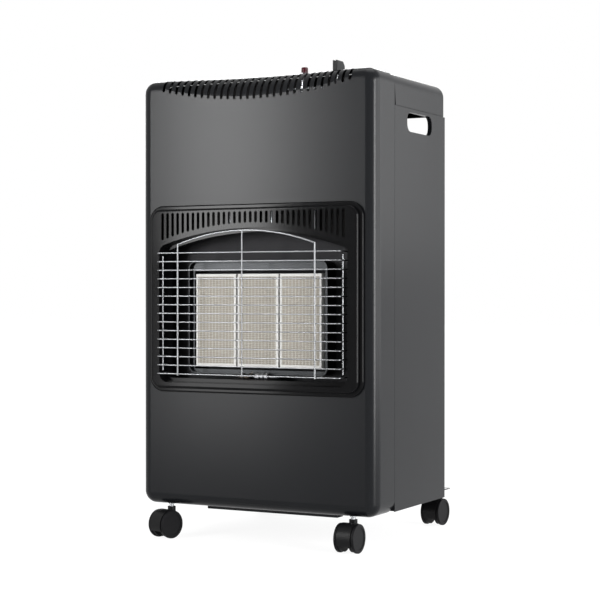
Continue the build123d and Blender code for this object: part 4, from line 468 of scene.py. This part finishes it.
plastic = shader.inputs["Base Color"].links[0].from_socket
painted = add_node(grip, "ShaderNodeMix", {0: line.outputs[0], MIX_A: plastic, MIX_B: srgb("#d9d9d6")},
                   data_type="RGBA")
fill(grip, shader, {"Base Color": painted.outputs[MIXED]})
dress(grip, "control_knob")

# %% [markdown]
# The igniter button is deep red plastic, smoother than the knob, so it catches a small light on its
# cap. The hoods and wheels of the casters are black plastic and nylon. The wheels are duller than the
# hoods, because they were moulded with a coarser grain and roll on the floor.

# %% Button and casters
red = grained("red_button_plastic", "#3d0813", "#450a16", "#330610", roughness=0.3, grain=1.0, depth=0.006,
              mirror=0.15)
dress(red, "igniter_button")
hood = grained("caster_hood_plastic", "#0a0a0b", "#0c0c0d", "#080809", roughness=0.4, grain=0.8,
               depth=0.03, mirror=0.12)
dress(hood, *on_casters("hood"))
tread = grained("caster_wheel_nylon", "#0c0c0d", "#0e0e10", "#0a0a0b", roughness=0.5, grain=1.2,
                depth=0.04, mirror=0.08)
dress(tread, *on_casters("wheel_left", "wheel_right"))

# %% [markdown]
# Four thumbscrews hold the rear cover. A real one has a knurled rim for the fingers and a slot for a
# coin. A bump could fake the knurl, but the rim is seen against the light, where only real edges show.
# So the head starts as a cylinder with 48 sides, and every other side is pushed in by 0.3 mm.

# %% Knurled head of a thumbscrew
def add_primitive(name, adder, **settings):
    """Adds a primitive with nothing else selected, and keeps its place, turn and size in its mesh."""
    bpy.ops.object.select_all(action="DESELECT")
    adder(**settings)
    piece = bpy.context.object
    piece.name = name
    bpy.ops.object.transform_apply(location=True, rotation=True, scale=True)
    return piece


def pick_faces(piece, rule):
    """In edit mode, selects the faces whose centre and normal the rule accepts."""
    bpy.ops.mesh.select_all(action="DESELECT")
    grid = bmesh.from_edit_mesh(piece.data)
    for face in grid.faces:
        face.select_set(rule(face.calc_center_median(), face.normal))
    bmesh.update_edit_mesh(piece.data)


low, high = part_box("rear_cover_thumbscrews")
head_radius, head_length = 0.0055, 0.008
sides, knurl_depth, knurl_lip = 48, 0.0003, 0.0001
x, z = high.x - head_radius, high.z - head_radius
screw = add_primitive("thumbscrew_top_right", bpy.ops.mesh.primitive_cylinder_add, vertices=sides,
                      radius=head_radius, depth=head_length, location=(x, high.y - head_length / 2, z),
                      rotation=(pi / 2, 0, 0))
bpy.ops.object.mode_set(mode="EDIT")
bpy.ops.mesh.select_mode(type="FACE")
step = 2 * pi / sides
pick_faces(screw, lambda c, n: abs(n.y) < 0.5 and round(atan2(c.z - z, c.x - x) / step - 0.5) % 2 == 0)
bpy.ops.mesh.inset(thickness=knurl_lip, depth=-knurl_depth, use_individual=True)
bpy.ops.object.mode_set(mode="OBJECT")
print("knurled head", round(2000 * head_radius), "mm across,", len(screw.data.polygons), "faces")

# %% [markdown]
# The coin slot is a clean cut across the end of the head, 1.2 mm wide and 1 mm deep.
# Edges could be moved into place for it, but a block that is taken out by a Boolean gives the same
# walls in one step. The block stands half outside the head, so that it cuts right through the face.

# %% Coin slot
slot_length, slot_depth, slot_width = 0.009, 0.001, 0.0012
block = add_primitive("coin_slot", bpy.ops.mesh.primitive_cube_add, size=1.0, location=(x, high.y, z),
                      scale=(slot_length, 2 * slot_depth, slot_width))
cut = screw.modifiers.new("coin_slot", "BOOLEAN")
cut.object = block
cut.operation = "DIFFERENCE"
cut.solver = "EXACT"
bpy.context.view_layer.objects.active = screw
bpy.ops.object.modifier_apply(modifier=cut.name)
bpy.data.objects.remove(block)
print("slotted head", len(screw.data.polygons), "faces")

# %% [markdown]
# The shank goes through the sheet into its thread, which nothing shows, so a plain round bar is
# enough. It starts half a millimetre inside the head and is joined to it. The finished screw then
# rides on the cover's body and stands for the plain CAD screws.

# %% Shank, and the finished screw
def settle(piece, material, body):
    """Smooths the shading, and puts the piece on its material and its body."""
    bpy.ops.object.select_all(action="DESELECT")
    piece.select_set(True)
    bpy.context.view_layer.objects.active = piece
    bpy.ops.object.shade_smooth_by_angle(angle=radians(35))  # sharper edges than that stay crisp
    piece.data.materials.clear()
    piece.data.materials.append(material)
    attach(piece, body)
    print("made", piece.name, "with", len(piece.data.polygons), "faces")


shank_radius, shank_start = 0.002, 0.0005
shank_top = high.y - head_length + shank_start
add_primitive("shank", bpy.ops.mesh.primitive_cylinder_add, vertices=24, radius=shank_radius,
              depth=shank_top - low.y, location=(x, (shank_top + low.y) / 2, z), rotation=(pi / 2, 0, 0))
screw.select_set(True)
bpy.context.view_layer.objects.active = screw
bpy.ops.object.join()
settle(screw, turned_steel, "cover_body")
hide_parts("rear_cover_thumbscrews")

# %% [markdown]
# The other three screws are copies of the first. A linked copy would be lighter, but each piece has to
# be whole by itself, so each gets its own mesh. It is moved in that mesh, and the object stays at the
# origin as the CAD nodes do.

# %% Copies at the other corners
across, down = low.x + head_radius - x, low.z + head_radius - z
moves = {"top_left": (across, 0, 0), "bottom_left": (across, 0, down), "bottom_right": (0, 0, down)}
for name, move in moves.items():
    twin = screw.copy()
    twin.data = screw.data.copy()
    twin.name = "thumbscrew_" + name
    twin.data.transform(Matrix.Translation(move))
    bpy.context.collection.objects.link(twin)
    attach(twin, "cover_body")
    print("made", twin.name)

# %% [markdown]
# The dial is printed on the top round the knob: 0 for off, then three heats, at every 80 degrees of
# turn. Print is flat, and a material could draw it, but figures are far easier to set as text. The
# text becomes a mesh that stands 0.15 mm proud of the paint, as thick screen print does, in a matt
# white.

# %% Dial figures
heat_step, ring_radius, figure_size, print_height = 80, 0.0245, 0.0065, 0.00015
ink = grained("screen_print_white", "#d9d9d6", "#dededb", "#d2d2ce", roughness=0.6, grain=1.0, depth=0.005)
top_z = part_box("front_shell")[1].z  # the sheet that the knob comes through
for figure in range(4):
    swing = radians(heat_step * figure)
    bpy.ops.object.select_all(action="DESELECT")
    spot = (knob_x + ring_radius * sin(swing), knob_y - ring_radius * cos(swing), top_z)
    bpy.ops.object.text_add(location=spot)
    mark = bpy.context.object
    mark.data.body = str(figure)
    mark.data.size = figure_size
    mark.data.align_x = "CENTER"
    mark.data.align_y = "CENTER"
    mark.data.extrude = print_height
    mark.data.resolution_u = 6
    bpy.ops.object.convert(target="MESH")
    mark.name = f"dial_figure_{figure}"
    bpy.ops.object.transform_apply(location=True, rotation=True, scale=True)
    bpy.ops.object.mode_set(mode="EDIT")
    bpy.ops.mesh.select_all(action="SELECT")
    bpy.ops.mesh.remove_doubles(threshold=0.00001)
    bpy.ops.mesh.normals_make_consistent(inside=False)
    bpy.ops.object.mode_set(mode="OBJECT")
    settle(mark, ink, "cabinet")

# %% Finish
low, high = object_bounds()
print("visual size in mm", [round(1000 * v, 1) for v in high - low])
